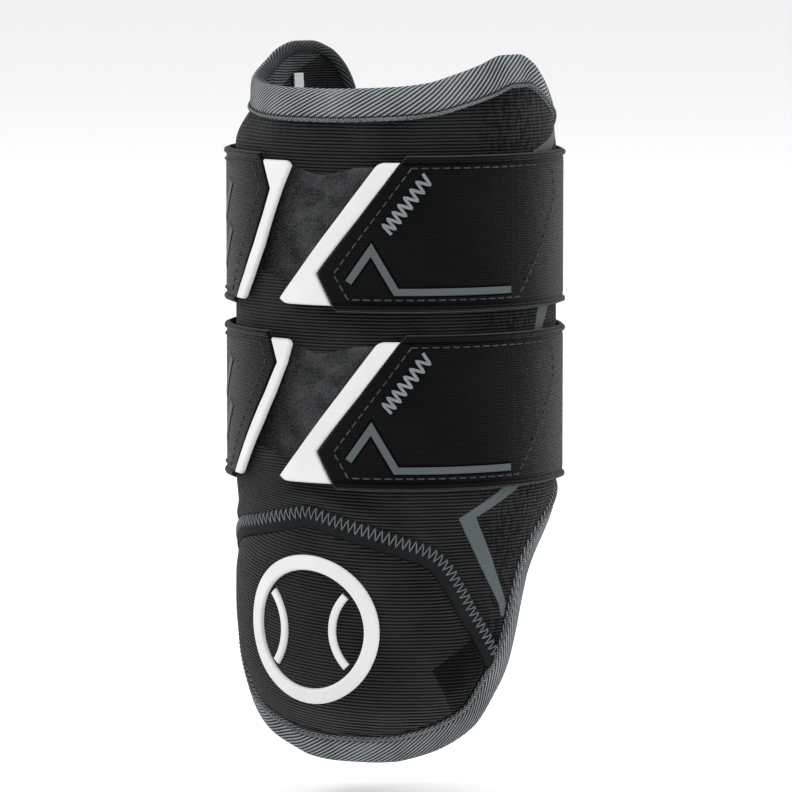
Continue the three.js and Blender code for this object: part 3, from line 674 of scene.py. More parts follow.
sleeve = make_sleeve()
black_knit = make_knit()
dress(sleeve, black_knit, "knit_black", "sleeve_shell")
sleeve.data.materials.append(make_lining())
outer_faces = (sleeve_columns - 1) * (sleeve_rows - 1)
face_slots = np.zeros(len(sleeve.data.polygons), np.int32)
face_slots[outer_faces : 2 * outer_faces] = 1
sleeve.data.polygons.foreach_set("material_index", face_slots)


# Elbow pad. A domed foam pad under the same knit, sewn down all round between the seam border and the
# hem tape, so it rises from a groove at its edge and is fullest over the point of the elbow.
clear = 0.3
pad_thick = 1.3
pad_crown = 0.7
pad_left = radians(-76)
pad_right = radians(55)
border_width = 7
border_over_seam = 2
hem_tape_leg = 8
pad_edge_gap = 1.2
pad_columns = 220
pad_rows = 120
pad_base = 0.15
pad_fold = 0.1
pad_edge_round = 1.6
pad_edge_swell = 9
pad_crown_reach = 30
seam_ends = radians(-90), radians(66)
seam_line = unrolled(seam_at, *seam_ends)


def height_away(line, angle, start, distance, direction):
    """The height at each angle where the distance to a line reaches a value, by halving."""
    near = np.zeros_like(angle)
    far = np.full_like(angle, 6.0 * distance)
    for _ in range(24):
        middle = (near + far) / 2
        inside = line_distance(line, angle, start + direction * middle) < distance
        near = np.where(inside, middle, near)
        far = np.where(inside, far, middle)
    return start + direction * near


def below_seam(angle, distance):
    return height_away(seam_line, angle, seam_at(angle), distance, -1)


def rounded(distance, radius):
    """A quarter round: 0 at the edge and 1 from the radius inwards."""
    t = np.clip(1 - distance / radius, 0, 1)
    return np.sqrt(1 - t * t)


def make_elbow_pad():
    """Over the face, from the hem tape to the border, with a quarter round at its edge, a long swell
    inwards and a crown that follows the sine of the share of its height."""
    angle = (pad_left + (pad_right - pad_left) * crowd(pad_columns, 0.5))[None, :]
    top_edge = below_seam(angle, border_width - border_over_seam + clear)
    hem_line = unrolled(hem_at, -left_wing, right_wing)
    low_edge = height_away(hem_line, angle, hem_at(angle), hem_tape_leg + pad_edge_gap, 1)
    share = crowd(pad_rows, 0.5)[:, None]
    height = low_edge + (top_edge - low_edge) * share
    angle = np.broadcast_to(angle, height.shape)
    side = np.minimum(angle - pad_left, pad_right - angle) * bend_radius
    edge = np.minimum.reduce([side, top_edge - height, height - low_edge])
    crown = pad_crown * np.sin(pi * share) ** 0.7 * smooth(side, 0, pad_crown_reach)
    folds = pad_fold * ripple(angle, height) * smooth(edge, 3, 12)
    swell = 0.35 * rounded(edge, pad_edge_round) + 0.65 * smooth(edge, 0, pad_edge_swell)
    lift = pad_base + (pad_thick + crown) * swell + folds
    cloth = np.stack([angle * bend_radius, height + knit_slope(angle, height)], -1)
    return raised("elbow_pad_cover", over_face, angle, height, lift, 0.0, cloth)


elbow_pad = make_elbow_pad()
dress(elbow_pad, black_knit, "knit_black", "elbow_pad")


# Seam border. A smooth strip of bonded cloth under the zigzag seam, pressed flat, with a dark groove
# between it and the pad. The zigzag is grey thread, about 4 mm high, over the strip's upper edge.
border_thick = 0.9
border_base = 0.1
border_round = 1.8
strip_left = radians(-84)
strip_right = radians(60)
zigzag_height = 4.2
zigzag_pitch = 2.3
thread_radius = 0.19
thread_sunk = 0.15
thread_arch = 0.3
leg_steps = 5
strip_columns = 240
strip_rows = 26
smooth_tones = shade(20, 21, 22), shade(50, 52, 54)
thread_tones = shade(76, 82, 85), shade(146, 153, 156)


def make_border():
    """A strip between two lines along the seam, with quarter round edges."""
    angle = (strip_left + (strip_right - strip_left) * crowd(strip_columns, 0.3))[None, :]
    top_edge = height_away(seam_line, angle, seam_at(angle), border_over_seam, 1)
    low_edge = below_seam(angle, border_width - border_over_seam)
    share = crowd(strip_rows, 0.6)[:, None]
    height = low_edge + (top_edge - low_edge) * share
    angle = np.broadcast_to(angle, height.shape)
    side = np.minimum(angle - strip_left, strip_right - angle) * bend_radius
    edge = np.minimum.reduce([side, top_edge - height, height - low_edge])
    lift = border_base + border_thick * rounded(edge, border_round)
    cloth = np.stack([angle * bend_radius, height], -1)
    return raised("seam_border_strip", over_face, angle, height, lift, 0.0, cloth)


def tube(name, centre, normal, radius, sides=6):
    """A round thread along a path: at each point a circle in the plane of the surface's normal and
    the path's own side, closed by a flat end at both ends. centre and normal are (count, 3)."""
    along = np.gradient(centre, axis=0)
    side = np.cross(along, normal)
    side /= np.linalg.norm(side, axis=1, keepdims=True)
    up = np.cross(side, along)
    up /= np.linalg.norm(up, axis=1, keepdims=True)
    turn = np.linspace(0, 2 * pi, sides, endpoint=False)[None, :, None]
    points = centre[:, None] + radius * (np.cos(turn) * side[:, None] + np.sin(turn) * up[:, None])
    grid = number_grid(len(centre), sides)
    ends = [grid[0, :-1].tolist(), grid[-1, -2::-1].tolist()]
    piece = link_mesh(name, points / 1000, quads(grid.T).tolist() + ends)
    length = np.linalg.norm(along, axis=1).cumsum()
    cloth = np.stack(np.broadcast_arrays(length[:, None], turn[..., 0] * radius), -1)
    set_cloth(piece, cloth.reshape(-1, 2) / 1000)
    return piece


def make_thread(name, tones):
    """Twisted thread: slanted plies along its length."""
    return ribbed_cloth(name, 0.6, 0.0001, tones, 0.35, 55, 0.02, 0.5)


def make_zigzag():
    """Corners every half pitch, above and below the seam in turn, each leg a shallow arch."""
    angle = np.linspace(strip_left, strip_right, 400)
    height = seam_at(angle)
    length = np.concatenate([[0], np.hypot(np.diff(angle) * bend_radius, np.diff(height)).cumsum()])
    legs = int(length[-1] / zigzag_pitch * 2)
    share = np.arange(legs * leg_steps + 1) / leg_steps
    at = share * zigzag_pitch / 2
    path_angle = np.interp(at, length, angle)
    path_height = np.interp(at, length, height)
    slope = np.gradient(path_height) / (np.gradient(path_angle) * bend_radius)
    swing = zigzag_height / 2 * (2 * abs(share % 2 - 1) - 1)
    tilt = np.hypot(1, slope)
    path_angle = path_angle - swing * slope / tilt / bend_radius
    path_height = path_height + swing / tilt
    arch = 0.3 + 1.0 * np.sin(pi * (share % 1)) ** 0.5
    from_edge = np.maximum(border_over_seam - swing, 0)
    base = border_base + border_thick * rounded(from_edge, border_round)
    centre = over_face(path_angle, path_height, base - thread_sunk + arch * thread_arch)
    return tube("seam_zigzag", centre, face_frame(path_angle, path_height)[2], thread_radius)


smooth_black = ribbed_cloth("smooth_black", 0.7, 0.0002, smooth_tones, 0.45, 35, 0.1, 0.8)
dress(make_border(), smooth_black, "knit_black", "seam_border")
dress(make_zigzag(), make_thread("grey_thread", thread_tones), "tape_grey")


# Edge binding. One length of stiff grey twill tape, folded over the whole edge of the sleeve, sewn
# through close to its outer border, where the thread pulls the tape in and leaves a corded lip.
tape_inner_leg = 1.2
# Painted shade over the tape's inner leg: across the tape, in metres, where it starts and where it is
# full
tape_fold = 0.0115, 0.0135
# Painted shade in the seam's groove, across the tape, in metres
tape_groove = 0.0017, 0.0023
inner_side = -3
tape_step = 0.42
tape_turn_reach = 26
tape_out_reach = 16
edge_samples = 1500
wing_samples = 200
bead_steps = 8
bead_waist = 0.6
lip_pitch = 1.5
cord_inset = 0.5
cord_lift = 1.25
cord_radius = 0.62
tape_pitch = 1.12
tape_slant = 27
tape_tones = shade(42, 45, 47), shade(152, 158, 161)

# The tape's section, from its outer border round the edge to its inner one. Columns: share of the leg
# on that side, distance past the edge, and depth over the sleeve's outer face
section_rows = np.array([
    [1.0, 0.0, 0.05], [1.0, 0.0, 0.6], [0.98, 0.0, 0.95], [0.93, 0.0, 1.05],
    [0.89, 0.0, 0.95], [0.86, 0.0, 0.9], [0.83, 0.0, 1.2], [0.75, 0.0, 1.5],
    [0.6, 0.0, 1.58], [0.45, 0.0, 1.6], [0.3, 0.0, 1.58], [0.15, 0.0, 1.5],
    [0.05, 0.5, 1.25], [0.0, 1.1, 0.6], [0.0, 1.4, -0.4], [0.0, 1.45, -1.3],
    [0.0, 1.4, -2.1], [0.0, 1.1, -2.9], [0.1, 0.5, -3.6], [0.4, 0.0, -3.8],
    [0.75, 0.0, -3.8], [0.95, 0.0, -3.7], [1.0, 0.0, -3.5], [1.0, 0.0, -3.1],
])


def edge_loop():
    """The sleeve's edge as evenly spaced places: the hem, the right wing, back along the rim and
    down the left wing, by their angle and height."""
    sweep = -left_wing + (left_wing + right_wing) * crowd(edge_samples, 0.9)
    right_rise = np.linspace(hem_at(right_wing), rim_at(right_wing), wing_samples)[1:-1]
    left_rise = np.linspace(rim_at(-left_wing), hem_at(-left_wing), wing_samples)[1:-1]
    right_turn = np.full_like(right_rise, right_wing)
    left_turn = np.full_like(left_rise, -left_wing)
    angle = np.concatenate([sweep, right_turn, sweep[::-1], left_turn, sweep[:1]])
    height = np.concatenate([hem_at(sweep), right_rise, rim_at(sweep)[::-1], left_rise])
    height = np.append(height, height[0])
    length = np.hypot(np.diff(angle) * bend_radius, np.diff(height)).cumsum()
    length = np.concatenate([[0], length])
    count = int(length[-1] / tape_step)
    even = np.linspace(0, length[-1], count, endpoint=False)
    return np.interp(even, length, angle), np.interp(even, length, height), even


def soften(values, reach, axis=0):
    """A running mean round a closed loop, over reach steps to each side."""
    total = sum(np.roll(values, shift, axis=axis) for shift in range(-reach, reach + 1))
    return total / (2 * reach + 1)


def make_binding():
    """The section carried round the edge loop, inwards at a right angle to the softened loop on the
    unrolled sleeve. Gives the tape, and the path and outward direction of its cord."""
    angle, height, length = edge_loop()
    flat = np.column_stack([angle * bend_radius, height])
    along = soften(np.roll(flat, -1, axis=0) - np.roll(flat, 1, axis=0), tape_turn_reach)
    along /= np.linalg.norm(along, axis=1, keepdims=True)
    run, rise = -along[:, 1] / bend_radius, along[:, 0]
    outer_leg = hem_tape_leg + (rim_tape_leg - hem_tape_leg) * smooth(height, -29, 29)
    leg, past, depth = section_rows[:, 0:1], section_rows[:, 1:2], section_rows[:, 2:3]
    travel = leg * np.where(depth < inner_side, tape_inner_leg, outer_leg)
    places = angle + travel * run, height + travel * rise
    out = soften(face_frame(*places)[2], tape_out_reach, axis=1)
    inwards = face_point(angle + run, height + rise) - face_point(angle, height)
    inwards = soften(inwards, tape_out_reach)
    tape = face_point(*places) + out * depth[..., None] - inwards * past[..., None]
    widths = np.linalg.norm(np.diff(tape, axis=0), axis=2).mean(1)
    across = np.concatenate([[0], widths.cumsum()])
    grid = number_grid(*tape.shape[:2])
    faces = quads(np.vstack([grid, grid[:1]]).T)
    piece = link_mesh("edge_tape", tape / 1000, faces.tolist())
    cloth = np.stack(np.broadcast_arrays(length[None, :], across[:, None]), -1)
    set_cloth(piece, cloth.reshape(-1, 2) / 1000)
    cord_travel = outer_leg - cord_inset
    cord_places = angle + cord_travel * run, height + cord_travel * rise
    cord_out = soften(face_frame(*cord_places)[2], tape_out_reach)
    return piece, make_cord(face_point(*cord_places) + cord_out * cord_lift, cord_out)


def make_cord(path, normal):
    """A round cord along a closed path, finer than the path's own points, whose radius swells once
    for every stitch by a cosine, so that each stitch shows as a bead."""
    path = np.vstack([path, path[:1]])
    normal = np.vstack([normal, normal[:1]])
    length = np.concatenate([[0], np.linalg.norm(np.diff(path, axis=0), axis=1).cumsum()])
    even = np.linspace(0, length[-1], int(length[-1] / lip_pitch * bead_steps))
    centre = np.column_stack([np.interp(even, length, path[:, k]) for k in range(3)])
    upward = np.column_stack([np.interp(even, length, normal[:, k]) for k in range(3)])
    beads = 0.5 + 0.5 * np.cos(2 * pi * even / lip_pitch)
    radius = cord_radius * (bead_waist + (1 - bead_waist) * beads**0.5)
    return tube("edge_cord", centre, upward, radius[:, None, None], 7)


def make_twill():
    """Grey tape with raised slanted ribs, painted light on the ribs and painted shade between them, in
    the groove of its seam and over the inner leg where it is turned in under the edge."""
    material, tree, at, colour, height = new_cloth("grey_twill", 0.75, 0.00055)
    rib, tone = lay_ribs(tree, at, tape_pitch, tape_slant, 0.12, 0.35)
    tree.links.new(rib, height)
    steeper = node(tree, "ShaderNodeMapRange", tone, 0.1, 0.72, 0.0, 1.0)[0]
    across = node(tree, "ShaderNodeSeparateXYZ", at)[1]
    # Painted shade in the groove of the seam
    groove = between(tree, across, *tape_groove, 0.0002)
    # Painted shade over the inner leg, past the fold, where the tape turns under the edge
    inner_leg_shade = node(tree, "ShaderNodeMapRange", across, *tape_fold, 1.0, 0.15)[0]
    lit = work_out(tree, "MULTIPLY", steeper, work_out(tree, "MULTIPLY_ADD", groove, -0.9, 1.0))
    lit = work_out(tree, "MULTIPLY", lit, inner_leg_shade)
    tree.links.new(blend_tones(tree, lit, *tape_tones), colour)
    return material


# The cord is the same yarn wound over the border: wide slanted plies, painted light on their crowns and
# painted shade between them
grey_cord = ribbed_cloth("grey_cord", 0.75, 0.0003, tape_tones, lip_pitch / 2, 60, 0.02, 0.4)
bindings = ("rim_binding", "hem_binding", "left_wing_binding", "right_wing_binding")
edge_tape, edge_cord = make_binding()
dress(edge_tape, make_twill(), "tape_grey", *bindings)
dress(edge_cord, grey_cord, "tape_grey")


# Loop patches. Brushed nylon loops on a thin backing, sewn to the front of the sleeve under the ends of
# each strap. Most of the pile is pressed down, with paler worn places.
loop_thick = 0.6
loop_left = 62
loop_right = 66
strap_width = 50.8
strap_pitch = 58.2
straps_middle = 1.2
upper_bottom = straps_middle + strap_pitch / 2 - strap_width / 2
lower_bottom = straps_middle - strap_pitch / 2 - strap_width / 2
loop_shadow = -0.029, -0.009
loop_tones = shade(8, 9, 10), shade(96, 98, 100)
pile_count = 5200
pile_height = 0.9
pile_radius = 0.05
pile_from = -0.72 * loop_left
pile_to = 0.3 * loop_right
patch_columns = 150
patch_rows = 44
patch_round = 1.2
pressed_depth = 0.08
loop_grain = 1500.0
worn_grain = 120.0

# Columns: share of the reach on that side, and shares of strap_width at the top and the bottom
loop_rows = np.array([
    [-1, 0.92, 0.3], [-0.45, 0.92, 0.22], [-0.3, 0.92, 0.18],
    [-0.09, 0.87, 0.12], [0.13, 0.92, 0.12], [1, 0.92, 0.12],
])


def over_oval(angle, height, depth):
    """Points at a depth over the plain oval that the straps follow."""
    across, forward = np.sin(angle) / half_width, -np.cos(angle) / half_depth
    out = np.stack(np.broadcast_arrays(across, forward, 0 * height), -1)
    out = out / np.linalg.norm(out, axis=-1, keepdims=True)
    shape = np.broadcast_shapes(np.shape(angle), np.shape(height), np.shape(depth))
    return oval_point(angle, height, 1) + out * np.broadcast_to(depth, shape)[..., None]


def loop_edges(length):
    along = length / np.where(length < 0, loop_left, loop_right)
    return read_rows(loop_rows, along, 1) * strap_width, read_rows(loop_rows, along, 2) * strap_width


def make_loop_patch(name, bottom):
    """A strip between two curves round the front, uneven where the pile is pressed."""
    length = np.linspace(-loop_left, loop_right, patch_columns)[None, :]
    top_edge, low_edge = loop_edges(length)
    share = crowd(patch_rows, 0.3)[:, None]
    rise = low_edge + (top_edge - low_edge) * share
    length = np.broadcast_to(length, rise.shape)
    edge = np.minimum(top_edge - rise, rise - low_edge)
    pressed = pressed_depth * np.sin(0.9 * length + 2.1 * np.sin(0.5 * rise)) * np.sin(1.1 * rise)
    lift = 0.1 + (loop_thick + 0.1 + pressed) * rounded(edge, patch_round)
    cloth = np.stack([length, rise], -1)
    return raised(name, over_oval, length / bend_radius, bottom + rise, lift, 0.0, cloth)


def make_pile(name, bottom, seed):
    """Small arched hairs scattered over the patch: each is a three-sided tapering strand of three
    rings that bends over in its own direction. All of them are one mesh."""
    chance = np.random.default_rng(seed)
    length = chance.uniform(pile_from, pile_to, pile_count)
    top_edge, low_edge = loop_edges(length)
    rise = low_edge + (top_edge - low_edge) * chance.uniform(0.01, 0.99, pile_count)
    turn = chance.uniform(0, 2 * pi, pile_count)
    reach = chance.uniform(0.3, 1.1, pile_count)
    tall = pile_height * chance.uniform(0.3, 1.0, pile_count)
    step = np.linspace(0, 1, 3)[:, None, None]
    ring = (np.arange(3) * 2 * pi / 3)[None, :, None]
    width = pile_radius * (1 - 0.8 * step)
    run = length + reach * step * np.cos(turn) + width * np.cos(ring)
    climb = rise + reach * step * np.sin(turn) + width * np.sin(ring)
    lift = loop_thick + tall * np.sin(0.8 * pi * step) + 0 * ring
    points = over_oval(run / bend_radius, bottom + climb, lift)
    grid = number_grid(3, 3, pile_count)
    caps = grid[-1, :3].T.tolist() + grid[0, 2::-1].T.tolist()
    piece = link_mesh(name, points / 1000, quads(grid).tolist() + caps)
    cloth = np.stack(np.broadcast_arrays(run, climb), -1)
    set_cloth(piece, cloth.reshape(-1, 2) / 1000)
    return piece


def make_loop_cloth():
    """Pressed pile: fine noise for the loops, a slow one for the worn places, and painted shadow cast
    by the left white tips, darkest beside them."""
    material, tree, at, colour, height = new_cloth("loop_pile", 0.95, 0.0006, sheen=0.05)
    fine = node(tree, "ShaderNodeTexNoise", at, None, loop_grain, 3.0, 0.7)[0]
    slow = node(tree, "ShaderNodeTexNoise", at, None, worn_grain, 3.0)[0]
    tree.links.new(fine, height)
    worn = node(tree, "ShaderNodeMapRange", slow, 0.3, 0.8, 0.1, 0.45)[0]
    along = node(tree, "ShaderNodeSeparateXYZ", at)[0]
    # Painted shadow of the left tips: the pile darkens towards them
    tip_shadow_ramp = node(tree, "ShaderNodeMapRange", along, *loop_shadow, 0.02, 1.4)[0]
    wear_and_tip_shadow = work_out(tree, "MULTIPLY", worn, tip_shadow_ramp)
    spotted = work_out(tree, "MULTIPLY_ADD", work_out(tree, "SUBTRACT", fine, 0.5), 1.0, wear_and_tip_shadow)
    tree.links.new(blend_tones(tree, held(tree, spotted), *loop_tones), colour)
    return material


loop_cloth = make_loop_cloth()
for strap_name, strap_bottom, seed in (("upper", upper_bottom, 3), ("lower", lower_bottom, 4)):
    field = make_loop_patch(strap_name + "_loop_field", strap_bottom)
    dress(field, loop_cloth, "loop_black", strap_name + "_loop_patch")
    dress(make_pile(strap_name + "_loop_pile", strap_bottom, seed), loop_cloth, "loop_black")


# Straps. Black elastic webbing, 2 inches wide, with a corded lip along both borders. Each end is cut to
# a pointed tab, doubled with the hook pad under it and sewn through along its outline.
hook_thick = 0.5
web_thick = 1.2
tab_depth = clear + loop_thick + clear + hook_thick + clear
right_tab_start = 0
left_tab_start = 46.5
hook_reach = 86
hook_edge = 2.6
strap_settle = 14
lip_width = 2.3
lip_rise = 0.75
lip_groove = 0.35
groove_depth = 0.45
web_rows = 46
web_columns = 440
web_round = 0.7
web_swell = 0.12
web_pitch = 0.75
web_tones = shade(3, 3, 4), shade(30, 31, 32)
stitch_inset = 4.0
stitch_far = 78
stitch_bend = [(80, 0.7 * strap_width), (72, 0.42 * strap_width), (60, stitch_inset)]
stitch_low = 0.045 * strap_width + 0.6 * stitch_inset
stitch_pitch = 3.3
stitch_radius = 0.28
stitch_tones = shade(38, 40, 41), shade(98, 101, 103)
tack_start = np.array([16.3, 26.6])
tack_end = np.array([28.9, 43.9])
tack_swings = 15
tack_swing = 1.95
tack_radius = 0.55
tack_crowding = 1.15
tack_lift = 0.25
tack_tones = shade(98, 104, 107), shade(160, 167, 170)

# Tabs, as shares of strap_width. Columns: rise, where the webbing ends, where the white tip ends
right_tab_rows = np.array([
    [0, 0.01, -0.31], [0.03, -0.01, -0.345], [0.07, -0.03, -0.387], [0.24, -0.113, -0.251],
    [0.6, 0.158, 0.018], [1, 0.443, 0.305],
])
upper_left_rows = np.array([
    [0, 0.03, 0.15], [0.2, 0.165, 0.28], [0.4, 0.28, 0.386], [0.6, 0.375, 0.469],
    [0.77, 0.443, 0.543], [0.92, 0.39, 0.616], [0.97, 0.374, 0.605], [1, 0.364, 0.575],
])
lower_left_rows = np.array([
    [0, -0.01, 0.1], [0.2, 0.133, 0.2375], [0.4, 0.264, 0.371], [0.6, 0.392, 0.486],
    [0.8, 0.5, 0.582], [0.92, 0.46, 0.62], [0.97, 0.445, 0.615], [1, 0.436, 0.585],
])
strap_table = [
    ("upper", upper_bottom, upper_left_rows),
    ("lower", lower_bottom, lower_left_rows),
]


def tab_edge(rows, rise, column, start):
    """Length round the arm where a tab's edge lies at a rise, on straight legs between the rows."""
    return start + strap_width * np.interp(rise, rows[:, 0], rows[:, column])


def strap_depth(length):
    """High over the hook pads, and down on the sleeve past them."""
    left_pad_end = left_tab_start - upper_left_rows[-1, 1] * strap_width + hook_reach + hook_edge
    right_pad_end = right_tab_start + hook_reach + hook_edge
    past = np.minimum(length - right_pad_end, 2 * pi * bend_radius - left_pad_end - length)
    return tab_depth + (clear - tab_depth) * smooth(past, 0, strap_settle)


def make_web(name, bottom, left_rows):
    """The band between its two slanted ends. Its columns lean with the ends and stand upright between
    them, and its borders swell to a lip with a groove inside it."""
    rise = crowd(web_rows, 0.6)[:, None]
    turn = 2 * pi * bend_radius
    start = tab_edge(right_tab_rows, rise, 1, right_tab_start)
    end = turn + tab_edge(left_rows, rise, 1, -left_tab_start)
    length = start + (end - start) * crowd(web_columns, 0.35)[None, :]
    height = bottom + rise * strap_width
    border = np.minimum(rise, 1 - rise) * strap_width
    end_near = np.minimum(length - start, end - length)
    lip = lip_rise * np.sin(pi * np.clip(border / lip_width, 0, 1)) ** 0.7
    groove = groove_depth * bell(border - lip_width - lip_groove, lip_groove)
    edge = np.minimum(border, end_near)
    swell = web_swell * np.sin(0.05 * length + 0.6) * smooth(end_near, 90, 120)
    low = strap_depth(length)
    top = low + web_thick * (0.35 + 0.65 * rounded(edge, web_round)) + lip - groove + swell
    cloth = np.stack(np.broadcast_arrays(length, rise * strap_width), -1)
    return raised(name, over_oval, length / bend_radius, height, top, low, cloth)


def make_webbing():
    """Fine ribs across the web's length, a tight twill over them, and pale specks of rubber, with
    painted light on their crowns and painted shade in the groove inside each lip.
    """
    material, tree, at, colour, height = new_cloth("black_webbing", 0.75, 0.00022, sheen=0.28)
    rib, tone = lay_ribs(tree, at, web_pitch, 0, 0.06, 0.5)
    cross = lay_ribs(tree, at, 0.5, 90, 0.05, 0.2)[0]
    woven = work_out(tree, "MULTIPLY_ADD", cross, 0.35, rib)
    tree.links.new(woven, height)
    across = node(tree, "ShaderNodeSeparateXYZ", at)[1]
    middle = strap_width / 2000
    from_middle = work_out(tree, "ABSOLUTE", work_out(tree, "SUBTRACT", across, middle))
    groove_place = middle - (lip_width + lip_groove) / 1000
    # Painted shade in the groove inside each lip
    groove = between(tree, from_middle, groove_place - 0.0004, groove_place + 0.0004, 0.0002)
    lit = work_out(tree, "MULTIPLY_ADD", cross, 0.12, work_out(tree, "MULTIPLY", tone, 0.8))
    lit = work_out(tree, "MULTIPLY", lit, work_out(tree, "MULTIPLY_ADD", groove, -0.95, 1.0))
    tree.links.new(blend_tones(tree, lit, *web_tones), colour)
    return material


def even_path(corners, step):
    """Evenly spaced points along straight legs between corners, and the length at each."""
    corners = np.asarray(corners, float)
    length = np.concatenate([[0], np.linalg.norm(np.diff(corners, axis=0), axis=1).cumsum()])
    at = np.linspace(0, length[-1], int(length[-1] / step) + 1)
    return np.column_stack([np.interp(at, length, corners[:, k]) for k in (0, 1)]), at


def sew(name, corners, bottom, thread, radius):
    """A running stitch: a thread along the path that rises out of the webbing for most of each pitch
    and dips under it between."""
    path, at = even_path(corners, stitch_pitch / 10)
    wave = np.sin(2 * pi * at / stitch_pitch)
    lift = tab_depth + web_thick + 0.06 + radius * 1.7 * (wave - 0.15)
    angle = path[:, 0] / bend_radius
    centre = over_oval(angle, bottom + path[:, 1], lift)
    normal = over_oval(angle, bottom + path[:, 1], lift + 1) - centre
    dress(tube(name, centre, normal, radius, 5), thread, "tape_grey")


def tab_stitches(name, bottom, left_rows, thread):
    """The closed outline on the right tab and the open one on the left tab, set in from the edges by
    shares of stitch_inset that keep it as far from a slanted edge as from a straight one."""
    low, top = stitch_inset, strap_width - stitch_inset
    bend = left_rows[4, 0]
    nose = right_tab_rows[3, 0]
    nose_length = tab_edge(right_tab_rows, nose, 1, right_tab_start) + 1.45 * stitch_inset
    top_corner = (tab_edge(right_tab_rows, 1, 1, right_tab_start) + 0.35 * stitch_inset, top)
    nose_corner = (nose_length, nose * strap_width)
    low_corner = (stitch_low, low)
    right = [top_corner, (stitch_far, top), *stitch_bend, low_corner, nose_corner, top_corner]
    left = [
        (-stitch_far, top),
        (tab_edge(left_rows, 1, 1, -left_tab_start) - 0.9 * stitch_inset, top),
        (tab_edge(left_rows, bend, 1, -left_tab_start) - 1.1 * stitch_inset, bend * strap_width),
        (tab_edge(left_rows, 0, 1, -left_tab_start) - 0.5 * stitch_inset, low),
        (-stitch_far, low),
    ]
    sew(name + "_right_stitches", right, bottom, thread, stitch_radius)
    sew(name + "_left_stitches", left, bottom, thread, 0.8 * stitch_radius)


def make_tack(name, bottom, thread):
    """A zigzag bar tack: swings square to both sides of a slanted line, by a triangle wave with
    softened corners, closer together at its lower end."""
    share = np.linspace(0, 1, 10 * tack_swings + 1)
    turn = tack_swings * share
    swing = 0.75 * (2 * abs(turn % 2 - 1) - 1) + 0.25 * np.cos(pi * turn)
    line = tack_end - tack_start
    side = np.array([line[1], -line[0]]) / np.hypot(*line)
    path = tack_start + share[:, None] ** tack_crowding * line + tack_swing * swing[:, None] * side
    lift = tab_depth + web_thick + tack_lift * (2 - swing**2)
    angle = path[:, 0] / bend_radius
    centre = over_oval(angle, bottom + path[:, 1], lift)
    normal = over_oval(angle, bottom + path[:, 1], lift + 1) - centre
    dress(tube(name, centre, normal, tack_radius, 8), thread, "tape_grey")


webbing = make_webbing()
black_thread = make_thread("black_thread", stitch_tones)
pale_thread = make_thread("pale_thread", tack_tones)
for strap_name, strap_bottom, left_rows in strap_table:
    web = make_web(strap_name + "_web", strap_bottom, left_rows)
    dress(web, webbing, "web_black", strap_name + "_strap")
    tab_stitches(strap_name, strap_bottom, left_rows, black_thread)
    make_tack(strap_name + "_bar_tack", strap_bottom, pale_thread)


# Tips. White moulded rubber ends, welded to the cut edge of the webbing, with a rounded free edge and a
# dark slit where they meet the webbing.
tip_thick = 1.4
tip_corner = 1.6
tip_edge = 0.35
tip_round = 0.9
tip_low = 0.035
tip_high = 0.955
rubber_tones = shade(196, 197, 198), shade(213, 213, 212)


def corner_pull(ends):
    """How far a corner of radius tip_corner draws the edge in, by the distance from the tip's ends."""
    t = np.clip(1 - ends / tip_corner, 0, 1)
    return tip_corner * (1 - np.sqrt(1 - t * t))


def make_tip(name, bottom, rows, start, side):
    """Between the web's edge and the tip's own, raised in a quarter round from its borders. side is 1
    where the tip lies to the left of the webbing, and -1 to the right of it."""
    rise = (tip_low + (tip_high - tip_low) * crowd(100, 0.3))[:, None]
    ends = np.minimum(rise - tip_low, tip_high - rise) * strap_width
    web_edge = tab_edge(rows, rise, 1, start) - side * clear
    free_edge = tab_edge(rows, rise, 2, start) + side * corner_pull(ends)
    share = crowd(22, 0.7)[None, :]
    low, high = (free_edge, web_edge) if side > 0 else (web_edge, free_edge)
    length = low + (high - low) * share
    height = bottom + rise * strap_width
    edge = np.minimum(length - low, high - length)
    border = np.minimum(edge * 0.85, ends)
    lift = tab_depth + tip_edge + (tip_thick - 0.1) * rounded(border, tip_round)
    cloth = np.stack(np.broadcast_arrays(length, height), -1)
    return raised(name, over_oval, length / bend_radius, height, lift, tab_depth, cloth)


def make_rubber():
    """White rubber with a faint moulded grain, and slightly greyer and duller in patches."""
    material, tree, at, colour, height = new_cloth("white_rubber", 0.42, 0.00006)
    grain = node(tree, "ShaderNodeTexNoise", at, None, 1800.0, 3.0)[0]
    slow = node(tree, "ShaderNodeTexNoise", at, None, 70.0, 2.0)[0]
    tree.links.new(grain, height)
    tree.links.new(blend_tones(tree, slow, *rubber_tones), colour)
    uneven = node(tree, "ShaderNodeMapRange", slow, 0.0, 1.0, 0.36, 0.5)[0]
    tree.links.new(uneven, tree.nodes["Principled BSDF"].inputs["Roughness"])
    return material


white_rubber = make_rubber()
for strap_name, strap_bottom, left_rows in strap_table:
    right_tab = (strap_name + "_right", right_tab_rows, right_tab_start, 1)
    left_tab = (strap_name + "_left", left_rows, -left_tab_start, -1)
    for end_name, rows, start, side in (right_tab, left_tab):
        tip = make_tip(end_name + "_end", strap_bottom, rows, start, side)
        dress(tip, white_rubber, "rubber_white", end_name + "_tip")


# Stripes and bars. Grey film pressed into the webbing and the knit, thin enough that the ribs under it
# still show through its surface.
stripe_width = 2.5
film_lift = 0.22
film_border = 0.6
film_round = 0.4
leg_rows = 24
bar_width = 3.4
bar_length = 17
bar_lean = 4.8
bar_before_tab = 6.6
film_tones = shade(77, 83, 85), shade(90, 96, 98)
film_edge_shade_tones = shade(2, 2, 2), shade(9, 9, 10)
stripe_path = strap_width * np.array([[0.093, 0.189], [0.231, 0.4], [0.38, 0.13], [1.125, 0.13]])
bar_rises = {"upper": 0.66, "lower": 0.36}


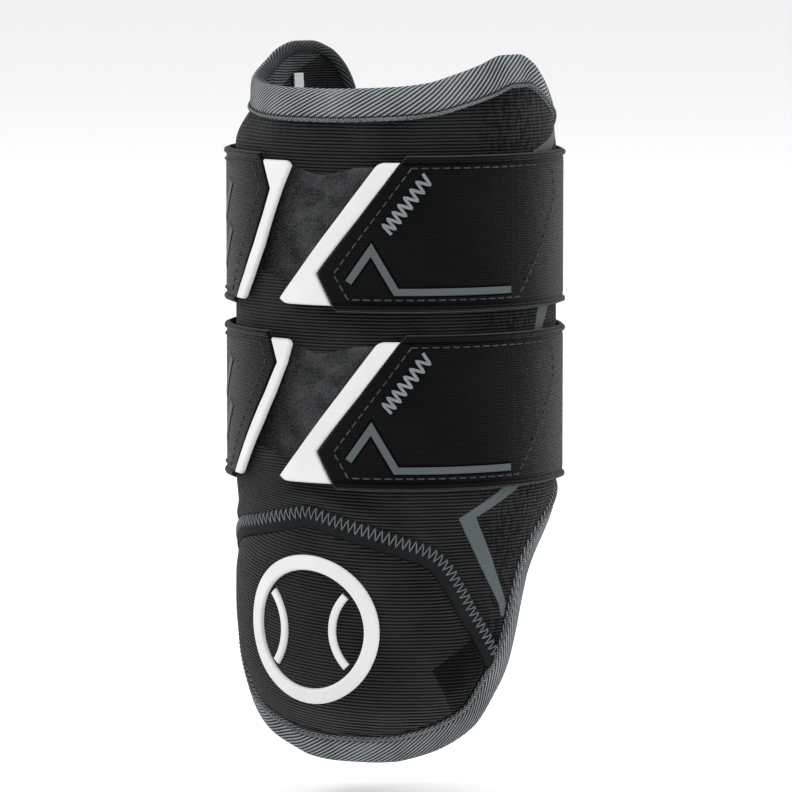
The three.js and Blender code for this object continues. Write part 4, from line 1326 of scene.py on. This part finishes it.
def ribbon(name, corners, width, to_face, rise):
    """A flat band of one width along straight legs with mitred corners, raised in a small round from
    its borders. to_face(length, height, lift) lays it on the piece that carries it."""
    corners = np.asarray(corners, float)
    legs = np.diff(corners, axis=0)
    legs /= np.linalg.norm(legs, axis=1, keepdims=True)
    before = np.vstack([legs[:1], legs])
    after = np.vstack([legs, legs[-1:]])
    bisector = before + after
    bisector /= np.linalg.norm(bisector, axis=1, keepdims=True)
    side = np.column_stack([-bisector[:, 1], bisector[:, 0]])
    side /= (bisector * after).sum(1)[:, None]
    share = np.linspace(0, len(legs), len(legs) * leg_rows + 1)
    at = np.arange(len(corners))
    path = np.column_stack([np.interp(share, at, corners[:, k]) for k in (0, 1)])
    across = np.column_stack([np.interp(share, at, side[:, k]) for k in (0, 1)])
    place = crowd(9, 0.6)[:, None, None] - 0.5
    flat = path[None] + width * place * across[None]
    edge = (0.5 - abs(place[..., 0])) * width + 0 * share
    lift = rise * rounded(edge, film_round)
    return raised(name, to_face, flat[..., 0], flat[..., 1], lift, -0.1, flat)


def make_film_edge_shade():
    """The sunk black border of a stripe, smooth and nearly without light: painted shade along the
    film's edge.
    """
    material, tree, at, colour, height = new_cloth("film_edge_shade", 0.9, 0.00005)
    grain = node(tree, "ShaderNodeTexNoise", at, None, 1500.0, 2.0)[0]
    tree.links.new(grain, height)
    tree.links.new(blend_tones(tree, grain, *film_edge_shade_tones), colour)
    return material


grey_film = ribbed_cloth("grey_film", 0.55, 0.00012, film_tones, web_pitch, 0, 0.08, 0.5)
film_edge_shade = make_film_edge_shade()
for strap_name, strap_bottom, left_rows in strap_table:

    def on_strap(length, rise, lift, bottom=strap_bottom):
        return over_oval(length / bend_radius, bottom + rise, tab_depth + web_thick + lift)

    films = {strap_name + "_strap_stripe": (stripe_path, stripe_width)}
    for bar_name, share in bar_rises.items():
        middle = np.array([-left_tab_start - bar_before_tab, share * strap_width])
        half = np.array([bar_lean, (bar_length - bar_width) / 2])
        films[strap_name + "_strap_bar_" + bar_name] = ([middle - half, middle + half], bar_width)
    for film_name, (corners, width) in films.items():
        outer = width + 2 * film_border
        # A wider near-black border under each film: painted shade along its edge
        slit = ribbon(film_name + "_border", corners, outer, on_strap, film_lift / 2)
        dress(slit, film_edge_shade, "knit_black")
        film = ribbon(film_name + "_film", corners, width, on_strap, film_lift)
        dress(film, grey_film, "film_grey", film_name)


# Flank film. A kinked stripe and two slanted patches of the same grey film, pressed on the knit of the
# right flank. They are laid on the sleeve's own face.
flank_edge = 0.05
flank_rise = 0.2
flank_sunk = 0.15

# Columns: left and right edges as shares of the right wing, and height in mm
flank_films = {
    "flank_stripe": np.array([
        [0.5, 0.565, -0.34 * hem_drop], [0.428, 0.49, -0.383 * hem_drop],
        [0.316, 0.367, -0.438 * hem_drop], [0.376, 0.421, -0.54 * hem_drop],
        [0.443, 0.47, -0.64 * hem_drop], [0.452, 0.464, -0.67 * hem_drop],
    ]),
    "flank_patch_middle": np.array([
        [0.592, 0.66, 0.07 * rim_height], [0.572, 0.61, -0.045 * rim_height],
    ]),
    "flank_patch_top": np.array([
        [0.79, 0.8, 0.85 * rim_height], [0.56, 0.68, 0.735 * rim_height],
    ]),
}


def make_flank_film(name, rows):
    """Straight legs between the rows, from the lowest up, raised in a small round."""
    legs = len(rows) - 1
    at = np.linspace(0, legs, 30 * legs + 1)[:, None]
    left, right, height = (np.interp(at, range(legs + 1), rows[::-1, k]) for k in range(3))
    share = crowd(15, 0.5)[None, :]
    angle = (left + (right - left) * share) * right_wing
    height = np.broadcast_to(height, angle.shape)
    edge = np.minimum(share, 1 - share) * (right - left) * right_wing * bend_radius
    relief = sleeve_relief(angle, height)
    lift = relief + flank_edge + flank_rise * rounded(edge, film_round)
    cloth = np.stack([angle * bend_radius, height], -1)
    return raised(name + "_film", over_face, angle, height, lift, relief - flank_sunk, cloth)


for film_name, rows in flank_films.items():
    dress(make_flank_film(film_name, rows), grey_film, "film_grey", film_name)


# Ball emblem. A plain ball of white moulded rubber on the elbow pad: a ring and two curved seams, with
# rounded borders, bonded flat to the knit.
emblem_turn = radians(-11.5)
emblem_drop = 100
emblem_radius = 24.5
emblem_stroke = 5
emblem_thick = 1.1
emblem_edge = 0.35
emblem_round = 0.8
ball_seam_stroke = 2.6
ball_seam_radius = 17
ball_seam_centre = 26
emblem_gap = 0.4
emblem_depth = clear + pad_thick + emblem_gap


def raise_emblem(name, node_name, across, up, edge, ring=False):
    """Flat places across and up from the ball's centre, laid on the pad and raised in a quarter
    round from the border."""
    angle = emblem_turn + across / bend_radius
    lift = emblem_depth + emblem_edge + emblem_thick * rounded(edge, emblem_round)
    cloth = np.stack([across, up], -1)
    piece = raised(name, over_face, angle, up - emblem_drop, lift, emblem_depth, cloth, ring)
    dress(piece, white_rubber, "rubber_white", node_name)


def make_emblem():
    """The ring is a band of circles. Each seam is a band along an arc about a centre outside it."""
    share = crowd(17, 0.7)[:, None]
    turn = np.linspace(0, 2 * pi, 240, endpoint=False)[None, :]
    radius = emblem_radius - emblem_stroke * share
    edge = np.minimum(share, 1 - share) * emblem_stroke + 0 * turn
    across, up = -radius * np.cos(turn), radius * np.sin(turn)
    raise_emblem("ball_ring", "emblem_ring", across, up, edge, True)
    inner = emblem_radius - emblem_stroke - clear - ball_seam_stroke / 2
    meet = (ball_seam_centre**2 + inner**2 - ball_seam_radius**2) / (2 * ball_seam_centre)
    half = np.arctan2(np.sqrt(inner**2 - meet**2), ball_seam_centre - meet)
    sweep = np.linspace(-half, half, 120)[None, :]
    for side_name, side in (("left", -1), ("right", 1)):
        radius = ball_seam_radius + side * ball_seam_stroke * (share - 0.5)
        across = side * (ball_seam_centre - radius * np.cos(sweep))
        ends = (half - abs(sweep)) * ball_seam_radius
        edge = np.minimum(np.minimum(share, 1 - share) * ball_seam_stroke, ends)
        names = ("ball_seam_" + side_name, "emblem_seam_" + side_name)
        raise_emblem(*names, across, radius * np.sin(sweep), edge)


make_emblem()


# Hook pads and the inner label. The pads are stiff moulded hook tape under the strap ends, and the
# label is a blank woven strip inside the left wing. Both keep their drawn shapes.
hook_tones = shade(40, 42, 43), shade(20, 21, 22)
label_tones = shade(214, 216, 217), shade(246, 247, 247)


def make_hook_tape():
    """Rows of small hooks: a fine dotted bump on the object's own place."""
    material, tree, at, colour, height = new_cloth("hook_tape", 0.7, 0.0003, "Object")
    dots = node(tree, "ShaderNodeTexVoronoi", at, None, 900.0)[0]
    tree.links.new(dots, height)
    tree.links.new(blend_tones(tree, dots, *hook_tones), colour)
    return material


def make_label_cloth():
    """Satin ribbon: fine threads across its length."""
    material, tree, at, colour, height = new_cloth("label_ribbon", 0.6, 0.0001, "Object")
    x, _, z = node(tree, "ShaderNodeSeparateXYZ", at)
    upright = node(tree, "ShaderNodeCombineXYZ", x, z)[0]
    rib, tone = lay_ribs(tree, upright, 0.4, 0, 0.02, 0.5)
    tree.links.new(rib, height)
    tree.links.new(blend_tones(tree, tone, *label_tones), colour)
    return material


drawn_cloths = {"_hook": make_hook_tape(), "_label": make_label_cloth()}
for node_name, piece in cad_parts.items():
    for ending, cloth in drawn_cloths.items():
        if node_name.endswith(ending):
            piece.data.materials.clear()
            piece.data.materials.append(cloth)
